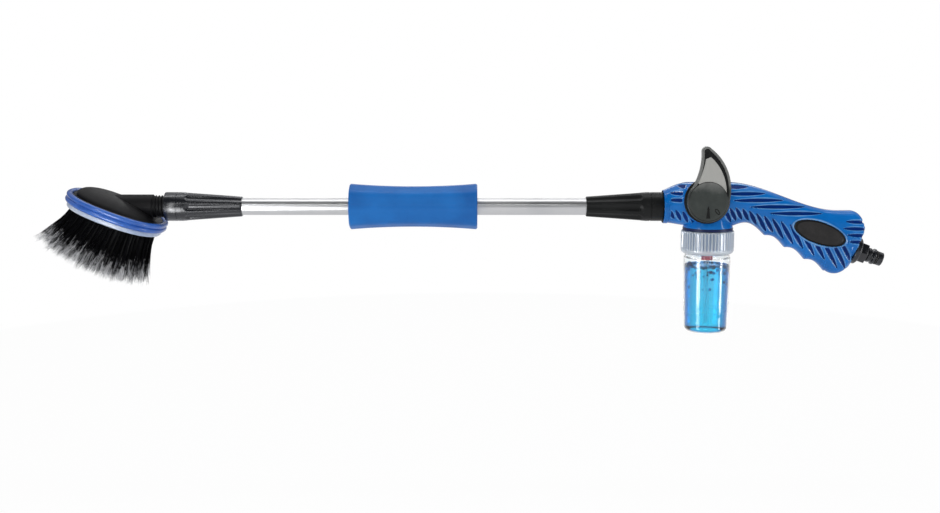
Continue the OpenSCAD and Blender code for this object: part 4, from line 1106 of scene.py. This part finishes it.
def makeInlay(name, side, node):
    # Oval soft pad with a black rim round a slightly crowned face
    a = inlay["length"] / 2
    b = inlay["height"] / 2
    rim = 0.88
    profile = [(0, -2.6), (1, -2.6), (1, -0.5), (0.985, -0.2), (0.96, -0.45), (0.93, -0.6), (0.9, -0.45),
               (rim, -0.05)]
    profile += [(rim - rim * t, -0.05 + 0.12 * t * (2 - t)) for t in stepped(0.08, 1, 10)]
    shape = turned([(r * 10, z) for r, z in profile], 160)
    for vert in shape.verts:
        vert.co.x *= a / 10
        vert.co.y *= b / 10
    place = Matrix.Translation((inlay["at"][0], side * (inlay["face"] - 0.12), inlay["at"][1]))
    place = place @ spun(-90 * side, "X") @ spun(inlay["tilt"] * side, "Z")
    secondWhere(shape, lambda middle: math.hypot(middle.x / a, middle.y / b) > rim)
    putPiece(name, shape, "inlayRubber", "handle", node, place, second="blackSatin")


makeHandleHalf("handleLeft", -1, "handle_left")
makeHandleHalf("handleRight", 1, "handle_right")
makeHandleParts()
makeInlay("inlayLeft", -1, "grip_inlay_left")
makeInlay("inlayRight", 1, "grip_inlay_right")
print("handle made")


# The lever is drawn with its turning axis at the middle and the fin up
finTip = Vector((lever["tipShift"], lever["finHeight"] - lever["tipRadius"]))


def leverAt(depth):
    axis = lever["axis"]
    return Matrix.Translation((axis[0], -depth, axis[1])) @ spun(90, "X")


leverBack = leverAt(lever["seat"] + lever["seatThick"] + lever["gap"])


def arcThrough(first, middle, last, count):
    # Points on the circle through three points
    (ax, ay), (mx, my), (bx, by) = first, middle, last
    d = 2 * (ax * (my - by) + mx * (by - ay) + bx * (ay - my))
    a2, m2, b2 = ax * ax + ay * ay, mx * mx + my * my, bx * bx + by * by
    x = a2 * (my - by) + m2 * (by - ay) + b2 * (ay - my)
    y = a2 * (bx - mx) + m2 * (ax - bx) + b2 * (mx - ax)
    centre = Vector((x / d, y / d))
    radius = (Vector(first) - centre).length
    start = math.atan2(ay - centre.y, ax - centre.x)
    stop = math.atan2(by - centre.y, bx - centre.x)
    turn = (stop - start + math.pi) % math.tau - math.pi
    angles = [start + turn * k / count for k in range(count + 1)]
    return [centre + radius * Vector((math.cos(angle), math.sin(angle))) for angle in angles]


def circlePart(centre, radius, start, stop, count):
    out = []
    for angle in stepped(math.radians(start), math.radians(stop), count):
        out.append(centre + radius * Vector((math.cos(angle), math.sin(angle))))
    return out


def leverOutline():
    disc, r, high = lever["disc"], lever["tipRadius"], lever["finHeight"]
    front = arcThrough((disc, 0), (disc - 3, high * 0.58), (finTip.x + r * 0.8, high - r * 0.4), 30)
    tip = circlePart(finTip, r, 40, 180, 20)
    back = arcThrough((finTip.x - r, finTip.y), (-9.4, high * 0.56), (-disc * 0.75, disc * 0.65), 26)
    return front + tip[1:-1] + back + circlePart(Vector((0, 0)), disc, 141, 358, 84)


def plate(outline, low, high):
    # A flat face through the outline, drawn up to a plate
    shape = bmesh.new()
    line = [shape.verts.new((point[0], point[1], low)) for point in outline]
    face = shape.faces.new(line)
    raised = bmesh.ops.extrude_face_region(shape, geom=[face])
    top = [item for item in raised["geom"] if isinstance(item, bmesh.types.BMVert)]
    bmesh.ops.translate(shape, verts=top, vec=(0, 0, high - low))
    return facedOut(shape)


def roundEdgesAt(shape, heights, radius, segments=3):
    edges = [e for e in shape.edges if any(all(abs(v.co.z - h) < 0.001 for v in e.verts) for h in heights)]
    rounded(shape, edges, radius, segments)


def makeLever():
    # Frame of the fin with a sunk face inside a rim, the face black as painted shade in the recess, and the
    # hub behind it
    thick = lever["thick"]
    shape = plate(leverOutline(), 0, thick)
    roundEdgesAt(shape, [0, thick], 0.7)
    top = max(shape.faces, key=lambda face: face.calc_center_median().z * 1000 + face.calc_area())
    for thickness, depth in ((lever["rim"] - 0.7, 0), (0.25, -lever["sunk"])):
        bmesh.ops.inset_region(shape, faces=[top], thickness=thickness, depth=depth, use_even_offset=True)
    # Painted shade: the sunk face takes the black finish
    top.material_index = 1
    addTo(shape, turned(eased([(0, -5.6), (7.3, -5.6), (7.3, 0.2), (0, 0.2)], 0.5), 64))
    putPiece("leverBody", shape, "leverOlive", "lever", "control_lever", leverBack, second="blackSatin")


def makeLeverPanel():
    # Grey panel in the fin, with a gap round it that is widest along its front; the gap shows the recess
    # floor's painted shade
    corner = arcThrough((18.6, 8.5), (13.6, 30.5), (1.6, 46.2), 26)
    left = arcThrough((-3.6, 44.0), (-6.3, 32), (-11.4, 19.5), 20)
    high = lever["thick"] - 0.35
    shape = plate(corner + left + [Vector((0, 10))], lever["thick"] - lever["sunk"] + 0.02, high)
    roundEdgesAt(shape, [high], 0.3, 2)
    putPiece("leverPanel", shape, "leverGrey", "lever", "lever_panel", leverBack)


def makeLeverCap():
    # Disc with a black edge, which is painted shade of the gap round it, the dial's pointer and its 0
    r, t = lever["capRadius"], lever["thick"]
    profile = [(0, t - 2.2), (r, t - 2.2), (r, t + 0.05), (r - 0.55, t + 0.42)]
    profile += [(r - 0.55 - (r - 0.55) * k, t + 0.42 + 0.38 * k * (2 - k)) for k in stepped(0.1, 1, 12)]
    shape = turned(profile, 160)
    # Painted shade: the disc's outer edge black
    secondWhere(shape, lambda middle: polar(middle)[0] > r - 0.7)
    pointer = [(-2.1, -17.6), (2.1, -17.6), (0.9, -8.5), (1.5, -8.5), (0, -4.6), (-1.5, -8.5), (-0.9, -8.5)]
    arrow = plate(pointer, t + 0.3, t + 1.0)
    roundEdgesAt(arrow, [t + 1.0], 0.22, 2)
    secondWhere(arrow)
    addTo(shape, arrow)
    ridge = [(-0.5, -0.3), (-0.5, 0.3), (-0.2, 0.45), (0.2, 0.45), (0.5, 0.3), (0.5, -0.3)]
    zero = drawnOut(ridge, 48, lambda out, angle: (
        (1.4 + out) * math.cos(angle), (3.2 + out) * math.sin(angle)))
    secondWhere(zero)
    addTo(shape, moved(zero, Matrix.Translation((9.4, -10.6, t + 0.5)) @ spun(38, "Z")))
    putPiece("leverCap", shape, "leverOlive", "lever", "lever_cap", leverBack, second="blackSatin")


def makeLeverTip():
    t = lever["thick"]
    profile = [(0, t - 1.4), (3.2, t - 1.4), (3.2, t + 0.15), (2.5, t + 0.3), (1.6, t + 0.1), (0, t - 0.05)]
    place = leverBack @ Matrix.Translation((finTip.x, finTip.y, 0))
    putPiece("leverTip", turned(eased(profile, 0.3), 48), "blackSatin", "lever", "lever_tip_plug", place)


def makeSeat():
    # A ring under the lever's disc; its black finish is painted shade round the disc's edge
    thick = lever["seatThick"]
    profile = [(7.8, 0), (24, 0), (24, thick), (7.8, thick), (7.8, 0)]
    shape = turned(eased(profile, 0.45))
    putPiece("leverSeat", shape, "blackSatin", "handle", "lever_seat", leverAt(lever["seat"]))


makeLever()
makeLeverPanel()
makeLeverCap()
makeLeverTip()
makeSeat()
print("lever made")


def makeInlet():
    # Flange, hexagon and stepped nipple with its locking ridge and seal groove
    f, ft, ht = inlet["flange"] / 2, inlet["flangeThick"], inlet["hexThick"]
    start = ft + ht
    nose = inlet["nose"] / 2
    ridge = inlet["ridge"] / 2
    end = start + inlet["length"]
    flange = [(4.5, -19), (8, -19), (8, 0), (f - 0.3, 0), (f, 0.4), (f, ft - 1.6), (f - 1.3, ft - 0.3),
              (f - 2.6, ft), (4.5, ft)]
    shape = turned(eased(flange, 0.35))
    cut = start + 10.8
    nipple = [(5, start - 0.2), (nose - 0.8, start - 0.2), (nose - 0.8, start + 1.5),
              (nose + 0.4, start + 2), (nose + 0.4, start + 5), (nose - 0.8, start + 5.5),
              (nose - 0.8, start + 7), (ridge, start + 7.8), (ridge, start + 9.8), (nose, cut),
              (nose - 1.6, cut + 0.02), (nose - 1.6, cut + 2.4), (nose, cut + 2.42), (nose, end),
              (4.5, end), (4.5, start - 1)]
    addTo(shape, turned(eased(nipple, 0.4)))
    hexagon = bmesh.new()
    across = inlet["hexAcross"] / 2 / math.cos(math.radians(30))
    bmesh.ops.create_cone(hexagon, cap_ends=True, segments=6, radius1=across, radius2=across, depth=ht)
    rounded(hexagon, hexagon.edges[:], 0.6, 3)
    addTo(shape, moved(hexagon, Matrix.Translation((0, 0, ft + ht / 2))))
    putPiece("hoseNipple", shape, "blackGloss", "handle", "inlet_adapter", inletAt)


makeInlet()
print("inlet made")


# Soap bottle: clear bottle, clear ribbed collar, the soap and its bubbles
bottle = {"mouth": -44.0, "flangeRadius": 22.6, "flange": 3, "neckRadius": 20.6, "mouthRadius": 18.8,
          "shoulder": -52, "radius": 24.6, "baseRadius": 22.8, "low": -133.6, "step": -113.0, "corner": 4.5,
          "wall": 0.7, "steps": 160, "soapTop": -63.5, "soapGap": 0.1, "dipRadius": 2.8, "bubbles": 150,
          "bubbleSize": (0.6, 2.0), "bubbleFall": 26}
collar = {"radius": 28, "top": -25.1, "low": -50.0, "bore": 23.05, "lipTop": -47.3, "lipRadius": 20.9,
          "ribs": 48, "ribDeep": 1.1}
baseCorner = (bottle["baseRadius"] - bottle["corner"], bottle["low"] + bottle["corner"])


def quarter(centre, radius, count, start=0, stop=90):
    out = []
    for angle in stepped(math.radians(start), math.radians(stop), count):
        out.append((centre[0] + radius * math.cos(angle), centre[1] - radius * math.sin(angle)))
    return out


def makeBottle():
    b = bottle
    mouth, flange, r, edge = b["mouthRadius"], b["flangeRadius"], b["radius"], b["baseRadius"]
    top, shoulder, step, low = b["mouth"], b["shoulder"], b["step"], b["low"]
    under = top - b["flange"]
    outer = [(mouth, top - 4), (mouth, top), (flange, top), (flange, under), (b["neckRadius"], under),
             (b["neckRadius"], shoulder + 1), (r - 0.8, shoulder), (r, shoulder - 0.9),
             (edge + 0.9, step + 0.7), (edge + 0.4, step - 0.1), (edge + 0.1, step - 6)]
    outer = eased(outer, 0.4) + quarter(baseCorner, b["corner"], 10)
    base = low + b["wall"]
    floor = [(14, low), (12.5, low + 0.8), (0, low + 0.9), (0, base + 0.6), (13, base + 0.6), (15, base)]
    innerCorner = quarter(baseCorner, b["corner"] - b["wall"], 8)[::-1]
    inner = [(edge + 0.4 - b["wall"], step - 0.5), (r - b["wall"], shoulder - 2.5), (mouth, shoulder),
             (mouth, top - 4)]
    shape = turned(outer + floor + innerCorner + inner, b["steps"])
    putPiece("soapBottle", shape, "bottleClear", "bottle", "bottle")


def soapRadius(z):
    b = bottle
    inner = b["baseRadius"] + 0.4 - b["wall"]
    share = (z - b["step"]) / (b["shoulder"] - 2.5 - b["step"])
    return blend(inner, b["radius"] - b["wall"], max(0.0, share)) - b["soapGap"]


def makeSoap():
    # The soap inside the wall, with a hole round the dip tube
    b = bottle
    top, hole = b["soapTop"], b["dipRadius"]
    side = [(soapRadius(z), z) for z in stepped(b["step"], top + 1.1, 12)][::-1]
    skin = [(hole + 0.3, top + 0.1), (soapRadius(top) - 4, top), (soapRadius(top) - 1.4, top + 0.3)]
    base = b["low"] + b["wall"] + b["soapGap"] + 0.6
    bottom = quarter(baseCorner, b["corner"] - b["wall"] - b["soapGap"], 8)
    bottom += [(15, base - 0.5), (12.8, base), (hole, base)]
    shape = turned([(hole, base), (hole, top + 0.6)] + skin + side + bottom, b["steps"])
    secondWhere(shape, lambda middle: polar(middle)[0] < hole + 0.1)
    putPiece("soap", shape, "soapBlue", "bottle", second="soapHole")


def makeBubbles():
    whole = bmesh.new()
    for k in range(bottle["bubbles"]):
        angle = random.uniform(0, math.tau)
        size = random.uniform(*bottle["bubbleSize"])
        low = bottle["soapTop"] - random.random() ** 7 * bottle["bubbleFall"]
        reach = soapRadius(low) - size - 0.25
        if low > bottle["soapTop"] - 2:
            reach *= random.uniform(0.7, 1.0)
            low += random.uniform(-0.6, 0.9)
        one = bmesh.new()
        bmesh.ops.create_icosphere(one, subdivisions=2, radius=size)
        place = Matrix.Translation((reach * math.cos(angle), reach * math.sin(angle), low))
        addTo(whole, moved(one, place))
    putPiece("soapBubbles", whole, "bubbleBlue", "bottle")


def makeCollar():
    # Ribbed ring, with the valleys between the ribs marked for the finish, which paints shade in them
    c = collar
    r, bore, top, low = c["radius"], c["bore"], c["top"], c["low"]
    side = [(r, top - 1.6 - (top - low - 6.5) * t) for t in stepped(0, 1, 26)]
    outer = [(bore, top - 3), (bore, top), (r - 1.6, top), (r - 0.4, top - 0.5)] + side
    outer += quarter((r - 4.4, low + 4.4), 4.4, 10, 8, 90)
    inner = [(c["lipRadius"], low), (c["lipRadius"], c["lipTop"]), (bore, c["lipTop"]), (bore, top - 3)]
    shape = turned(outer + inner, c["ribs"] * 8)
    valleyShadeLayer = shape.verts.layers.float.new("valleyShade")
    for vert in shape.verts:
        radius, angle = polar(vert.co)
        if radius > r - 2.2:
            wave = 0.5 - 0.5 * math.cos(c["ribs"] * angle)
            ends = smoothStep((top - 0.3 - vert.co.z) / 1.6) * smoothStep((vert.co.z - low - 4.2) / 2.5)
            # This marks the rib valleys, where the finish paints shade
            vert[valleyShadeLayer] = smoothStep(wave * 1.5 - 0.25) * ends
            pushTo(vert, radius, radius - c["ribDeep"] * vert[valleyShadeLayer])
    putPiece("bottleCollar", shape, "collarClear", "collar", "bottle_collar")


makeBottle()
makeSoap()
makeBubbles()
makeCollar()
print("bottle made")


# Finishes of the solids that are kept as they are
kept = {
    "sealRubber": ("head_seal", "front_oring", "rear_oring", "spindle_oring", "nipple_oring",
                   "bottle_gasket"),
    "steel": ("head_screws", "handle_screws", "lever_screw", "inlet_filter", "check_ball", "check_spring"),
    "whitePlastic": ("front_ferrule", "rear_ferrule", "valve_plug"),
    "navyPlastic": ("valve_body", "valve_cap"),
    "blackSatin": ("inlet_pipe",),
    "dipClear": ("dip_tube",),
    "redPlastic": ("check_valve",),
}
for finish, solids in kept.items():
    for node in solids:
        mesh = nodes[node].data
        mesh.materials.clear()
        mesh.materials.append(materials[finish])
print("kept solids finished:", sum(len(solids) for solids in kept.values()))
